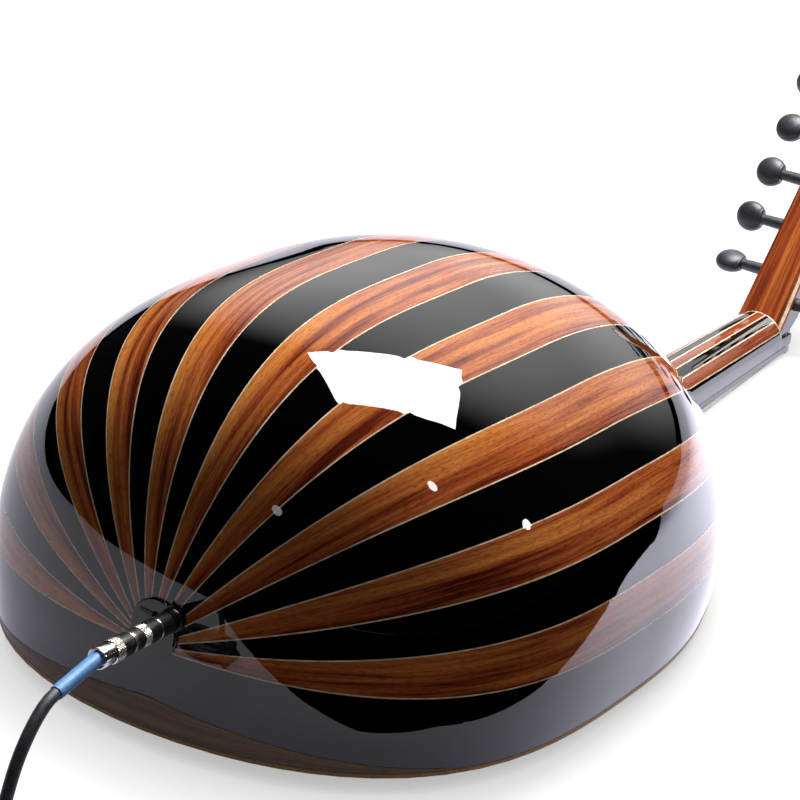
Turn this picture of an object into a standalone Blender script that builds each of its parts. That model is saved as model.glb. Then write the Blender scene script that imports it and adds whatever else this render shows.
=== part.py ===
# Turkish oud, lying face down on its bridge and nut, with its lead plugged in.
# All sizes are in metres. The oud is modelled in its own frame: x runs from the tail to the neck, z is the
# height behind the outer face of the soundboard, and the bass side is at y > 0. At the end an empty leans
# the whole instrument so that the bridge and the nut stand on the world's floor, z = 0.

import math

import bmesh
import bpy
import numpy as np
from mathutils import Vector

for old in list(bpy.data.objects):
    bpy.data.objects.remove(old, do_unlink=True)

# Fits
GAP = 0.0003
SEAM_GAP = 0.0003
CUTTER_ROOM = 0.018

# Bowl: half width and height are curves over s, which runs from 0 at the tail to 1 at the neck joint
BOWL_LENGTH = 0.485
BOWL_HALF_WIDTH = 0.1681
BOWL_HEIGHT = 0.1552
WIDEST_AT = 0.4266
DEEPEST_AT = 0.4104
WIDTH_TAIL_BEND = 3.18
WIDTH_TAIL_ROUND = 0.472
WIDTH_NECK_BEND = 2.22
HEIGHT_TAIL_BEND = 3.91
HEIGHT_TAIL_ROUND = 0.471
HEIGHT_NECK_BEND = 2.01
TAIL_POLE_HEIGHT = 0.0471
NECK_POLE_HEIGHT = 0.0148
JOINT_HALF_WIDTH = 0.0225
JOINT_BACK_HEIGHT = 0.0125

# Ribs
RIB_COUNT = 21
RIB_WIDTH = 0.0259
RIB_THICKNESS = 0.0028
SEAM_DRIFT = -0.077
RIB_ROWS_ALONG = 13
RIB_COLUMNS = 3
SIDE_RIB_COLUMNS = 6
TAIL_HOLE_RADIUS = 0.0045
TAIL_SECOND_RADIUS = 0.016

# End clasp: the strip round the tail under the side ribs
CLASP_HEIGHT = 0.020
CLASP_REACH = 0.141
CLASP_TIP = 0.0006
CLASP_TAPER = 1.1
CLASP_COLUMNS = 6

# Tail cap: the arched black plate over the ends of the ribs
CAP_RADIUS = 0.0134
CAP_Y = -0.0025
CAP_TOP_CENTRE = 0.0582
CAP_LOW_CENTRE = 0.0550
CAP_THICKNESS = 0.0024

# Soundboard, its bars and its holes
BOARD_THICKNESS = 0.0022
BAR_WIDTH = 0.006
BAR_HEIGHT = 0.012
BAR_PLACES = (0.060, 0.135, 0.172, 0.246, 0.350, 0.388, 0.428)
BAR_END_ROOM = 0.0038
ROSETTE_THICKNESS = 0.0016
LARGE_ROSETTE_RADIUS = 0.038
LARGE_ROSETTE_X = 0.300
SMALL_ROSETTE_RADIUS = 0.018
SMALL_ROSETTE_X = 0.210
SMALL_ROSETTE_Y = 0.072
PICKGUARD_FROM_BRIDGE = 0.0193
PICKGUARD_FROM_ROSETTE = 0.006
PICKGUARD_HALF_WIDTH = 0.030
PICKGUARD_THICKNESS = 0.0008

# Bridge, nut and strings
SCALE_LENGTH = 0.585
BRIDGE_LENGTH = 0.105
BRIDGE_FOOT = 0.014
BRIDGE_TOP = 0.008
BRIDGE_HEIGHT = 0.0095
BRIDGE_END_HEIGHT = 0.003
BRIDGE_FLAT_HALF = 0.040
NUT_LENGTH = 0.005
NUT_HEIGHT = 0.0020
NUT_HALF_WIDTH = 0.0168
STRING_HEIGHT_AT_BRIDGE = 0.0075
STRING_SPREAD_AT_BRIDGE = 0.039
STRING_SPREAD_AT_NUT = 0.0142
PAIR_SPACING_AT_BRIDGE = 0.0034
PAIR_SPACING_AT_NUT = 0.0026
STRING_RADII = (0.0003, 0.00035, 0.0004, 0.00045, 0.0005, 0.0006)
NUT_SLOT_FLOOR = 0.0002

# Neck and fingerboard
NECK_LENGTH = 0.2007
NECK_STEP = 0.0145
NECK_END_HALF_WIDTH = 0.0176
NECK_END_POLE_HEIGHT = 0.009
NECK_END_BACK_HEIGHT = 0.0156
NECK_LOWER_HEIGHT = 0.040
SEAT_HEIGHT = 0.0107
FINGERBOARD_THICKNESS = 0.0037

# Blocks inside the bowl
BLOCK_ROOM = 0.0008
NECK_BLOCK_LENGTH = 0.042
TAIL_BLOCK_DEPTH = 0.022
TAIL_BLOCK_HALF_WIDTH = 0.038
TAIL_BLOCK_TOP = 0.084

# Pegbox: t runs along it from the neck, d is the depth below its outer back face
PEGBOX_ANGLE = math.radians(48.5)
PEGBOX_LENGTH = 0.205
PEGBOX_START_HEIGHT = 0.0149
PEGBOX_DEPTH = 0.0166
PEGBOX_HALF_WIDTH = 0.016
PEGBOX_END_HALF_WIDTH = 0.011
PLATE_THICKNESS = 0.0025
CHEEK_THICKNESS = 0.0035
CHEEK_FRONT_T = 0.0069
CHEEK_FRONT_D = 0.0120
CHEEK_FULL_T = 0.0196
END_BLOCK_LENGTH = 0.009

# Pegs
PEG_COUNT = 11
FIRST_PEG_T = 0.0235
PEG_END_ROOM = 0.0150
PEG_DEPTH = 0.0070
PEG_SIDES = 12
PEG_HEAD_RADIUS = 0.0098
PEG_HEAD_CENTRE = 0.0402
PEG_HEAD_HALF_THICKNESS = 0.0068
PEG_SHAFT_RADIUS = 0.0040
PEG_NECK_RADIUS = 0.0035
PEG_TIP_RADIUS = 0.0032
PEG_TIP_OUT = 0.0015
PEG_CLEARANCE = 0.00015
PEG_TURNS = (70, 15, 100, 75, 40, 60, 120, 50, 85, 95, 30)

# Jack socket and the plug on the lead
JACK_Y = -0.0125
JACK_Z = 0.0648
JACK_TILT = math.radians(2.7)
JACK_FLANGE_RADIUS = 0.0072
JACK_FLANGE_FRONT = -0.0050
JACK_BARREL_RADIUS = 0.0046
JACK_BARREL_END = 0.026
JACK_BORE_RADIUS = 0.0033
JACK_SIDES = 16
PLUG_SHAFT_RADIUS = 0.00310
PLUG_SHAFT_LENGTH = 0.029
PLUG_BODY_RADIUS = 0.0061
PLUG_BODY_LENGTH = 0.0475
PLUG_BELL_LENGTH = 0.0083
PLUG_BELL_RADIUS = 0.0055
SLEEVE_RADIUS = 0.0041
SLEEVE_LENGTH = 0.031
SLEEVE_FALL = math.radians(12.9)

# Lead: route of the free stretch in the world, then a round coil and the plug at its far end
CABLE_RADIUS = 0.00315
CABLE_POINT_STEP = 0.0105
COIL_CENTRE = (-0.6074, 0.0240)
COIL_INNER_RADIUS = 0.0261
COIL_OUTER_RADIUS = 0.0450
COIL_HEIGHT = 0.0252
COIL_EDGE = 0.0030
COIL_SIDES = 28

NUT_X = BOWL_LENGTH + NECK_LENGTH
BRIDGE_X = NUT_X - SCALE_LENGTH - NUT_LENGTH
PICKGUARD_START = BRIDGE_X + BRIDGE_FOOT / 2 + PICKGUARD_FROM_BRIDGE
PICKGUARD_END = LARGE_ROSETTE_X - LARGE_ROSETTE_RADIUS - PICKGUARD_FROM_ROSETTE
PEG_STEP = (PEGBOX_LENGTH - FIRST_PEG_T - PEG_END_ROOM) / (PEG_COUNT - 1)
SPINE_SLOPE = math.atan2(NECK_POLE_HEIGHT - TAIL_POLE_HEIGHT, BOWL_LENGTH)
SPINE_UP = (-math.sin(SPINE_SLOPE), math.cos(SPINE_SLOPE))


def colour(code):
    """sRGB hex code to a linear colour."""
    channels = [int(code[i:i + 2], 16) / 255 for i in (1, 3, 5)]
    linear = [c / 12.92 if c <= 0.04045 else ((c + 0.055) / 1.055) ** 2.4 for c in channels]
    return (*linear, 1.0)


def material(name, code, roughness, metallic=0.0):
    new = bpy.data.materials.new(name)
    new.use_nodes = True
    shader = new.node_tree.nodes["Principled BSDF"]
    shader.inputs["Base Color"].default_value = colour(code)
    shader.inputs["Roughness"].default_value = roughness
    shader.inputs["Metallic"].default_value = metallic
    return new


oud = bpy.data.objects.new("oud", None)
bpy.context.scene.collection.objects.link(oud)


def place(name, mesh, look, parent=oud):
    obj = bpy.data.objects.new(name, mesh)
    obj.parent = parent
    obj.data.materials.append(look)
    bpy.context.scene.collection.objects.link(obj)
    return obj


def hide(cutter):
    cutter.hide_render = True
    cutter.display_type = "WIRE"


def solid(name, faces, look, parent=oud, smooth=None):
    """A closed body from faces given as lists of points. Points that coincide are one vertex, and a face
    that shrinks to a line is left out."""
    index = {}
    polygons = []
    for face in faces:
        corners = []
        for point in face:
            key = tuple(round(value, 8) for value in point)
            corner = index.setdefault(key, len(index))
            if not corners or corners[-1] != corner:
                corners.append(corner)
        if len(corners) > 1 and corners[0] == corners[-1]:
            corners.pop()
        if len(set(corners)) > 2:
            polygons.append(corners)
    mesh = bpy.data.meshes.new(name)
    mesh.from_pydata(list(index), [], polygons)
    shape = bmesh.new()
    shape.from_mesh(mesh)
    bmesh.ops.recalc_face_normals(shape, faces=shape.faces)
    shape.to_mesh(mesh)
    shape.free()
    if smooth:
        mesh.shade_smooth()
        mesh.set_sharp_from_angle(angle=math.radians(smooth))
    return place(name, mesh, look, parent)


def loft_faces(loops):
    """Faces of a body through closed loops of points, with the first and last loop filled."""
    faces = [loops[0][::-1], loops[-1]]
    for before, after in zip(loops, loops[1:]):
        for i in range(len(before)):
            j = (i + 1) % len(before)
            faces.append([before[i], before[j], after[j], after[i]])
    return faces


def shell_faces(outer, inner):
    """Faces of a thin body between two grids of points with the same rows and columns."""
    rows = len(outer)
    columns = len(outer[0])
    faces = []
    for r in range(rows - 1):
        for c in range(columns - 1):
            faces.append([outer[r][c], outer[r][c + 1], outer[r + 1][c + 1], outer[r + 1][c]])
            faces.append([inner[r][c], inner[r + 1][c], inner[r + 1][c + 1], inner[r][c + 1]])
        for c in (0, columns - 1):
            faces.append([outer[r][c], outer[r + 1][c], inner[r + 1][c], inner[r][c]])
    for r in (0, rows - 1):
        for c in range(columns - 1):
            faces.append([outer[r][c], outer[r][c + 1], inner[r][c + 1], inner[r][c]])
    return faces


def prism_faces(outline, low, high):
    """Faces of a plate with an outline of (x, y) points between two heights, each a number or a function."""
    low_of = low if callable(low) else lambda x, y: low
    high_of = high if callable(high) else lambda x, y: high
    bottom = [(x, y, low_of(x, y)) for x, y in outline]
    top = [(x, y, high_of(x, y)) for x, y in outline]
    return loft_faces([bottom, top])


def ring_loop(centre, along, across, radii, sides, turn=0.0):
    """One loop of a turned body: an ellipse round centre, square to along. The first radius is on across."""
    along = Vector(along).normalized()
    first = (Vector(across) - along * along.dot(Vector(across))).normalized()
    second = along.cross(first)
    loop = []
    for i in range(sides):
        angle = turn + 2 * math.pi * i / sides
        offset = first * (radii[0] * math.cos(angle)) + second * (radii[1] * math.sin(angle))
        loop.append(tuple(Vector(centre) + offset))
    return loop


def turned_faces(path, radii, sides, across=(0, 0, 1)):
    """Faces of a body turned along a path of points, with a radius or a pair of radii at each."""
    loops = []
    for i, point in enumerate(path):
        before = Vector(path[max(i - 1, 0)])
        after = Vector(path[min(i + 1, len(path) - 1)])
        pair = radii[i] if isinstance(radii[i], tuple) else (radii[i], radii[i])
        loops.append(ring_loop(point, after - before, across, pair, sides))
    return loft_faces(loops)


def cut(target, cutter):
    bore = target.modifiers.new("cut", "BOOLEAN")
    bore.operation = "DIFFERENCE"
    bore.solver = "EXACT"
    bore.object = cutter


def rod_cutter(name, start, end, radius, sides, look):
    faces = loft_faces([ring_loop(p, Vector(end) - Vector(start), (0, 0, 1), (radius, radius), sides)
                        for p in (start, end)])
    cutter = solid(name, faces, look)
    hide(cutter)
    return cutter


# Bowl surface

def bowl_curve(s, peak, peak_at, end, tail_bend, tail_round, neck_bend):
    """Rises from nothing at the tail to its peak, then falls to its end value at the neck joint."""
    if s < peak_at:
        return peak * max(1 - ((peak_at - s) / peak_at) ** tail_bend, 0.0) ** tail_round
    return end + (peak - end) * (1 - ((s - peak_at) / (1 - peak_at)) ** neck_bend)


def half_width(s):
    return bowl_curve(s, BOWL_HALF_WIDTH, WIDEST_AT, JOINT_HALF_WIDTH,
                      WIDTH_TAIL_BEND, WIDTH_TAIL_ROUND, WIDTH_NECK_BEND)


def back_height(s):
    return bowl_curve(s, BOWL_HEIGHT, DEEPEST_AT, JOINT_BACK_HEIGHT,
                      HEIGHT_TAIL_BEND, HEIGHT_TAIL_ROUND, HEIGHT_NECK_BEND)


def spine_height(s):
    return TAIL_POLE_HEIGHT + (NECK_POLE_HEIGHT - TAIL_POLE_HEIGHT) * s


def lower_height(s):
    """Height of the ellipse under the spine. It is the back's height, and grows near the neck, where the
    sides run nearly straight down to the soundboard."""
    fade = min(max((s - 0.9) / 0.1, 0.0), 1.0)
    straight = 3 * spine_height(s) * fade * fade * (3 - 2 * fade)
    return (back_height(s) ** 4 + straight ** 4) ** 0.25


def bowl_point(s, angle):
    """Point of the outer surface. The angle is 0 at the middle of the back, positive towards y < 0."""
    reach = back_height(s) if math.cos(angle) > 0 else lower_height(s)
    rise = reach * math.cos(angle)
    return Vector((s * BOWL_LENGTH + rise * SPINE_UP[0],
                   -half_width(s) * math.sin(angle),
                   spine_height(s) + rise * SPINE_UP[1]))


def bowl_normal(s, angle):
    """Outward normal, from two small steps along the surface."""
    step = min(1e-4, s / 5)
    ahead = min(s + step, 1.0)
    along = bowl_point(ahead, angle) - bowl_point(ahead - 2 * step, angle)
    round_the_bowl = bowl_point(s, angle + 1e-3) - bowl_point(s, angle - 1e-3)
    normal = round_the_bowl.cross(along)
    return normal.normalized()


def inside(s, angle, depth):
    return bowl_point(s, angle) - bowl_normal(s, angle) * depth


def angle_at_height(s, height):
    """Angle on the near side at which the surface is at this height, or half a turn where it stays above."""
    ratio = (height - spine_height(s)) / (lower_height(s) * SPINE_UP[1])
    return math.acos(max(ratio, -1.0))


def arc_angle(length):
    """Angle that an arc of this length, from the middle of the back, spans on the widest section."""
    angles = np.linspace(0, math.pi / 2 + 0.3, 800)
    steps = np.hypot(BOWL_HALF_WIDTH * np.cos(angles), BOWL_HEIGHT * np.sin(angles)) * angles[1]
    return float(np.interp(length, np.cumsum(steps) - steps[0], angles))


def seam_angle(seam, s):
    """Angle of a seam: all ribs but the two side ones are equally wide on the widest section."""
    offset = (seam - RIB_COUNT / 2) * RIB_WIDTH
    return math.copysign(arc_angle(abs(offset)), offset) * (1 + SEAM_DRIFT * (s - 0.5))


def solve(function, low, high):
    """Where a rising function crosses zero, by halving the range."""
    for _ in range(60):
        middle = (low + high) / 2
        if function(middle) < 0:
            low = middle
        else:
            high = middle
    return (low + high) / 2


def tail_surface(y, z):
    """Point of the tail's surface that lies at this y and z."""
    def outside(s):
        rise = (z - spine_height(s)) / SPINE_UP[1]
        reach = back_height(s) if rise > 0 else lower_height(s)
        return 1 - (y / half_width(s)) ** 2 - (rise / reach) ** 2
    s = solve(outside, 1e-7, WIDEST_AT)
    rise = (z - spine_height(s)) / SPINE_UP[1]
    return Vector((s * BOWL_LENGTH + rise * SPINE_UP[0], y, z))


def tail_inside(y, z, depth):
    """Point this deep under the tail's surface."""
    step = 1e-4
    slope_y = (tail_surface(y + step, z).x - tail_surface(y - step, z).x) / (2 * step)
    slope_z = (tail_surface(y, z + step).x - tail_surface(y, z - step).x) / (2 * step)
    return tail_surface(y, z) + Vector((1, -slope_y, -slope_z)).normalized() * depth


BOARD_TOP = BOARD_THICKNESS + GAP


def clasp_top(y):
    rise = CLASP_HEIGHT - BOARD_TOP - CLASP_TIP
    return BOARD_TOP + CLASP_TIP + rise * (1 - min(abs(y) / CLASP_REACH, 1.0) ** CLASP_TAPER)


def clasp_edge(s):
    """Angle and height of the clasp's top edge on this row, on the near side."""
    y = half_width(s)
    for _ in range(30):
        height = clasp_top(y)
        angle = angle_at_height(s, height)
        y = half_width(s) * math.sin(angle)
    return angle, height




def below_spine(s):
    """How far the bowl reaches under the clasp's top at this row."""
    return lower_height(s) * SPINE_UP[1] - spine_height(s) + CLASP_HEIGHT + GAP


def row_at(radius):
    """The row near the tail where the bowl's half width is this radius."""
    return solve(lambda s: half_width(s) - radius, 1e-7, WIDEST_AT)


CLASP_START = solve(below_spine, 1e-6, WIDEST_AT)
CLASP_ROWS = [CLASP_START] + [row_at(CLASP_REACH * i / CLASP_COLUMNS) for i in range(2, CLASP_COLUMNS + 1)]
RIB_ROWS = [row_at(TAIL_HOLE_RADIUS), row_at(TAIL_SECOND_RADIUS)] + CLASP_ROWS
RIB_ROWS += list(np.linspace(CLASP_ROWS[-1], 1.0, RIB_ROWS_ALONG + 1)[1:])


# Jack: its line, its row on the ribs, and the ribs that its bore meets
BORE_CUT_RADIUS = (JACK_BARREL_RADIUS + GAP) / math.cos(math.pi / JACK_SIDES)
JACK_FROM_POLE = math.hypot(JACK_Y, JACK_Z - TAIL_POLE_HEIGHT)
ROW_PAST_JACK = row_at(JACK_FROM_POLE + BORE_CUT_RADIUS + 2 * GAP)
JACK_INWARD = Vector((math.cos(JACK_TILT), 0, -math.sin(JACK_TILT)))


def on_jack(depth):
    """Point of the socket's line, which tilts up a little outside the bowl."""
    return Vector((0, JACK_Y, JACK_Z)) + JACK_INWARD * depth


def seam_to_jack(seam):
    """Least distance between a seam and the middle of the socket."""
    rows = np.linspace(RIB_ROWS[0], ROW_PAST_JACK, 60)
    points = [bowl_point(s, seam_angle(seam, s)) for s in rows]
    return min(math.hypot(point.y - JACK_Y, point.z - JACK_Z) for point in points)


def seams_in_bore(number):
    """How many of a rib's two seams the socket's bore cuts. With two, the rib ends past the bore."""
    if number in (1, RIB_COUNT):
        return 0
    return sum(seam_to_jack(seam) < BORE_CUT_RADIUS + SEAM_GAP for seam in (number - 1, number))


def side_rib_edge(s):
    """Angle of the lower edge of a side rib: at the middle of the tail, on the clasp, or on the soundboard."""
    if s < CLASP_START:
        return math.pi
    if s <= CLASP_ROWS[-1]:
        return angle_at_height(s, clasp_edge(s)[1] + GAP)
    return angle_at_height(s, BOARD_TOP)


black_lacquer = material("black_lacquer", "#08080a", 0.08)
brown_lacquer = material("brown_rosewood_lacquer", "#7a3e1c", 0.10)
tan_spruce = material("spruce", "#b98a55", 0.45)
black_matt = material("ebony", "#1b1b1d", 0.35)
mahogany = material("mahogany_lacquer", "#8a3d20", 0.18)
bone = material("bone", "#e7dcc0", 0.35)
plain_wood = material("lime_wood", "#c9a878", 0.6)
chrome = material("chrome", "#d8dadc", 0.12, 1.0)
cable_rubber = material("cable_rubber", "#24262a", 0.55)
string_look = material("strings", "#c9c2ad", 0.3)


def rib(number):
    """One rib: a strip of the bowl between two seams, bent over its whole length."""
    columns = SIDE_RIB_COLUMNS if number in (1, RIB_COUNT) else RIB_COLUMNS
    outer = []
    inner = []
    rows = RIB_ROWS
    if seams_in_bore(number) == 2:
        rows = [ROW_PAST_JACK] + [s for s in RIB_ROWS if s > ROW_PAST_JACK * 1.1]
    for s in rows:
        near = side_rib_edge(s) if number == RIB_COUNT else seam_angle(number, s)
        far = -side_rib_edge(s) if number == 1 else seam_angle(number - 1, s)
        room = [SEAM_GAP / 2 / (bowl_point(s, a + 1e-3) - bowl_point(s, a)).length * 1e-3 for a in (far, near)]
        on_edge = s >= CLASP_START
        far += 0 if number == 1 and on_edge else room[0]
        near -= 0 if number == RIB_COUNT and on_edge else room[1]
        angles = [far + (near - far) * c / (columns - 1) for c in range(columns)]
        outer.append([tuple(bowl_point(s, a)) for a in angles])
        inner.append([tuple(inside(s, a, RIB_THICKNESS)) for a in angles])
    look = black_lacquer if number % 2 else brown_lacquer
    return solid("rib_%02d" % number, shell_faces(outer, inner), look, smooth=40)


def clasp():
    """The end clasp, in columns from its tip on the far side round the tail to its tip on the near side."""
    middle = (0.0, CLASP_HEIGHT)
    side = [(half_width(s) * math.sin(clasp_edge(s)[0]), clasp_edge(s)[1]) for s in CLASP_ROWS[1:]]
    columns = [(y, z) for y, z in reversed(side)] + [middle] + [(-y, z) for y, z in side]
    outer = []
    inner = []
    for y, top in columns:
        heights = [BOARD_TOP + (top - BOARD_TOP) * i / 2 for i in range(3)]
        outer.append([tuple(tail_surface(y, z)) for z in heights])
        inner.append([tuple(tail_inside(y, z, RIB_THICKNESS)) for z in heights])
    return solid("end_clasp", shell_faces(outer, inner), brown_lacquer, smooth=40)


def cap_outline(steps=10):
    points = []
    for centre, start in ((CAP_TOP_CENTRE, 0), (CAP_LOW_CENTRE, math.pi)):
        for i in range(steps + 1):
            angle = start + math.pi * i / steps
            points.append((CAP_Y + CAP_RADIUS * math.cos(angle), centre + CAP_RADIUS * math.sin(angle)))
    return points


def tail_cap():
    """A plate bent over the tail where the ribs end. Rings towards its middle let it follow the bowl."""
    middle = (CAP_Y, (CAP_TOP_CENTRE + CAP_LOW_CENTRE) / 2)
    rings = [[(middle[0] + (y - middle[0]) * share, middle[1] + (z - middle[1]) * share)
              for y, z in cap_outline()] for share in (1.0, 0.5)]
    faces = []
    for depth, flip in ((-GAP, 1), (-GAP - CAP_THICKNESS, -1)):
        layers = [[tuple(tail_inside(y, z, depth)) for y, z in ring] for ring in rings]
        centre = tuple(tail_inside(*middle, depth))
        for i in range(len(layers[0])):
            j = (i + 1) % len(layers[0])
            faces.append([layers[0][i], layers[0][j], layers[1][j], layers[1][i]][::flip])
            faces.append([layers[1][i], layers[1][j], centre][::flip])
    back = [tuple(tail_inside(y, z, -GAP)) for y, z in rings[0]]
    front = [tuple(tail_inside(y, z, -GAP - CAP_THICKNESS)) for y, z in rings[0]]
    for i in range(len(back)):
        j = (i + 1) % len(back)
        faces.append([back[i], back[j], front[j], front[i]])
    return solid("tail_cap", faces, black_matt, smooth=40)


def board_outline():
    """Edge of the soundboard, flush with the lower edge of the ribs: near side, then far side."""
    start = solve(lambda s: lower_height(s) * SPINE_UP[1] - spine_height(s) + BOARD_TOP, 1e-6, WIDEST_AT)
    rows = [start]
    for before, after in zip(RIB_ROWS, RIB_ROWS[1:]):
        width = (half_width(before) + half_width(after)) / 2
        between = (before + after) / 2
        if after <= CLASP_ROWS[-1]:
            between = solve(lambda s: half_width(s) - width, 1e-6, WIDEST_AT)
        rows += [s for s in (between, after) if s > start * 1.02]
    near = [bowl_point(s, angle_at_height(s, BOARD_TOP)) for s in rows]
    points = [(p.x, p.y) for p in near]
    return points + [(x, -y) for x, y in reversed(points[1:])]


def inner_half_width(x, height):
    """Room beside the centre line inside the bowl, at this x and height."""
    s = x / BOWL_LENGTH
    angle = angle_at_height(s, height)
    return abs(inside(s, angle, RIB_THICKNESS).y)


def bar_faces(x):
    half = min(inner_half_width(x - BAR_WIDTH / 2, BOARD_TOP), inner_half_width(x + BAR_WIDTH / 2, BOARD_TOP))
    half -= BAR_END_ROOM
    low = BOARD_THICKNESS - GAP
    slope = BAR_HEIGHT / 2
    shoulder = BOARD_THICKNESS + slope
    top = BOARD_THICKNESS + BAR_HEIGHT
    profile = [(-half, low), (half, low), (half, shoulder), (half - 2 * slope, top),
               (-half + 2 * slope, top), (-half, shoulder)]
    return loft_faces([[(x + side, y, z) for y, z in profile] for side in (-BAR_WIDTH / 2, BAR_WIDTH / 2)])


ROSETTES = (
    ("rosette_large", LARGE_ROSETTE_X, 0.0, LARGE_ROSETTE_RADIUS, 32, 12),
    ("rosette_small_left", SMALL_ROSETTE_X, SMALL_ROSETTE_Y, SMALL_ROSETTE_RADIUS, 20, 6),
    ("rosette_small_right", SMALL_ROSETTE_X, -SMALL_ROSETTE_Y, SMALL_ROSETTE_RADIUS, 20, 6),
)


def round_faces(x, y, radius, sides, low, high, turn=0.0):
    loop = [(x + radius * math.cos(turn + 2 * math.pi * i / sides),
             y + radius * math.sin(turn + 2 * math.pi * i / sides)) for i in range(sides)]
    return prism_faces(loop, low, high)


def soundboard():
    """The soundboard with its glued bars, as one solid, and the holes for the three rosettes."""
    board = solid("soundboard", prism_faces(board_outline(), 0.0, BOARD_THICKNESS), tan_spruce)
    holes = []
    for _, x, y, radius, sides, _ in ROSETTES:
        holes += round_faces(x, y, radius, sides, -0.005, BOARD_THICKNESS + 0.005)
    cutter = solid("rosette_holes", holes, tan_spruce)
    hide(cutter)
    cut(board, cutter)
    bars = solid("bars", [face for x in BAR_PLACES for face in bar_faces(x)], tan_spruce)
    hide(bars)
    glue = board.modifiers.new("bars", "BOOLEAN")
    glue.operation = "UNION"
    glue.solver = "EXACT"
    glue.object = bars
    return board


def rosettes():
    """Fretted discs in the soundboard's holes: a middle hole and rings of round holes."""
    for name, x, y, radius, sides, count in ROSETTES:
        outer = (radius - GAP) * math.cos(math.pi / sides)
        disc = solid(name, round_faces(x, y, outer, sides, 0.0, ROSETTE_THICKNESS), plain_wood)
        low = -0.002
        high = ROSETTE_THICKNESS + 0.002
        holes = round_faces(x, y, 0.16 * radius, 8, low, high)
        for ring, size in ((0.42, 0.105), (0.72, 0.14)):
            for i in range(count):
                angle = 2 * math.pi * (i + (0.5 if ring > 0.5 else 0)) / count
                share = 12 / count if ring > 0.5 else 8 / count
                holes += round_faces(x + ring * radius * math.cos(angle), y + ring * radius * math.sin(angle),
                                     size * radius * share ** 0.5, 6, low, high, angle)
        cutter = solid(name + "_holes", holes, plain_wood)
        hide(cutter)
        cut(disc, cutter)


def pickguard():
    """A thin leaf between the bridge and the large rosette, under the strings' path."""
    steps = 12
    side = []
    for i in range(steps + 1):
        u = i / steps
        width = PICKGUARD_HALF_WIDTH * math.sin(math.pi * u ** 0.8) ** 0.9 if 0 < i < steps else 0.0
        side.append((PICKGUARD_START + (PICKGUARD_END - PICKGUARD_START) * u, width))
    outline = side + [(x, -y) for x, y in reversed(side[1:-1])]
    return solid("pickguard", prism_faces(outline, -GAP - PICKGUARD_THICKNESS, -GAP), black_matt)


def rest_height(x):
    """Height of the floor that the bridge and the nut stand on."""
    slope = (BRIDGE_HEIGHT - NUT_HEIGHT) / (NUT_X - BRIDGE_X)
    return -BRIDGE_HEIGHT + (x - BRIDGE_X) * slope


def bridge():
    """A bar glued to the soundboard, flat over the strings' width and lower towards its two ends."""
    half = BRIDGE_LENGTH / 2
    loops = []
    for y in (-half, -(half + BRIDGE_FLAT_HALF) / 2, -BRIDGE_FLAT_HALF, BRIDGE_FLAT_HALF,
              (half + BRIDGE_FLAT_HALF) / 2, half):
        end = max((abs(y) - BRIDGE_FLAT_HALF) / (half - BRIDGE_FLAT_HALF), 0.0)
        foot = BRIDGE_FOOT / 2 * (1 - 0.35 * end)
        top = BRIDGE_TOP / 2 * (1 - 0.35 * end)
        loop = [(BRIDGE_X - foot, y, -GAP), (BRIDGE_X + foot, y, -GAP)]
        for x in (BRIDGE_X + top, BRIDGE_X - top):
            loop.append((x, y, rest_height(x) * (1 - end) - BRIDGE_END_HEIGHT * end))
        loops.append(loop)
    return solid("bridge", loft_faces(loops), black_matt)


# Strings: five pairs and a single bass, counted from y > 0

def string_places():
    """For each string: its course, its y at the bridge and at the nut, and its radius."""
    places = []
    for course, radius in enumerate(STRING_RADII[::-1]):
        at_bridge = STRING_SPREAD_AT_BRIDGE * (1 - course / 2.5)
        at_nut = STRING_SPREAD_AT_NUT * (1 - course / 2.5)
        if course == 0:
            places.append((course, at_bridge, at_nut, radius))
            continue
        for side in (1, -1):
            places.append((course, at_bridge + side * PAIR_SPACING_AT_BRIDGE / 2,
                           at_nut + side * PAIR_SPACING_AT_NUT / 2, radius))
    return places


STRINGS = string_places()


def string_height_at_nut(radius):
    return -NUT_HEIGHT + NUT_SLOT_FLOOR + radius


def nut():
    """A strip of bone across the end of the fingerboard, with a slot for each string."""
    depth_at = FINGERBOARD_THICKNESS
    profile = [(NUT_HALF_WIDTH, depth_at), (NUT_HALF_WIDTH, None)]
    for _, _, y, radius in STRINGS:
        half = radius + GAP
        floor = string_height_at_nut(radius) + radius + GAP
        profile += [(y + half, None), (y + half, floor), (y - half, floor), (y - half, None)]
    profile += [(-NUT_HALF_WIDTH, None), (-NUT_HALF_WIDTH, depth_at)]
    loops = []
    for x in (NUT_X - NUT_LENGTH, NUT_X):
        loops.append([(x, y, rest_height(x) if z is None else z) for y, z in profile])
    return solid("nut", loft_faces(loops), bone)


def on_pegbox(t, d, y=0.0):
    """Point of the pegbox in the oud's frame."""
    x = NUT_X - NECK_STEP + t * math.cos(PEGBOX_ANGLE) + d * math.sin(PEGBOX_ANGLE)
    z = PEGBOX_START_HEIGHT + t * math.sin(PEGBOX_ANGLE) - d * math.cos(PEGBOX_ANGLE)
    return (x, y, z)


def peg_place(number):
    """Place of a peg along the pegbox, and the side of its head. They alternate from side to side."""
    return FIRST_PEG_T + (number - 1) * PEG_STEP, -1 if number % 2 else 1


def peg_of_string(string):
    """The outer strings go to the nearest pegs and the middle one to the farthest."""
    middle = len(STRINGS) // 2
    return 1 + 2 * (middle - abs(string - middle)) + (1 if string > middle else 0)


def shaft_radius(from_head_cheek):
    """Pegs taper from the cheek at their head to their tip."""
    return PEG_SHAFT_RADIUS + (PEG_TIP_RADIUS - PEG_SHAFT_RADIUS) * from_head_cheek / (2 * PEGBOX_HALF_WIDTH)


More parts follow.
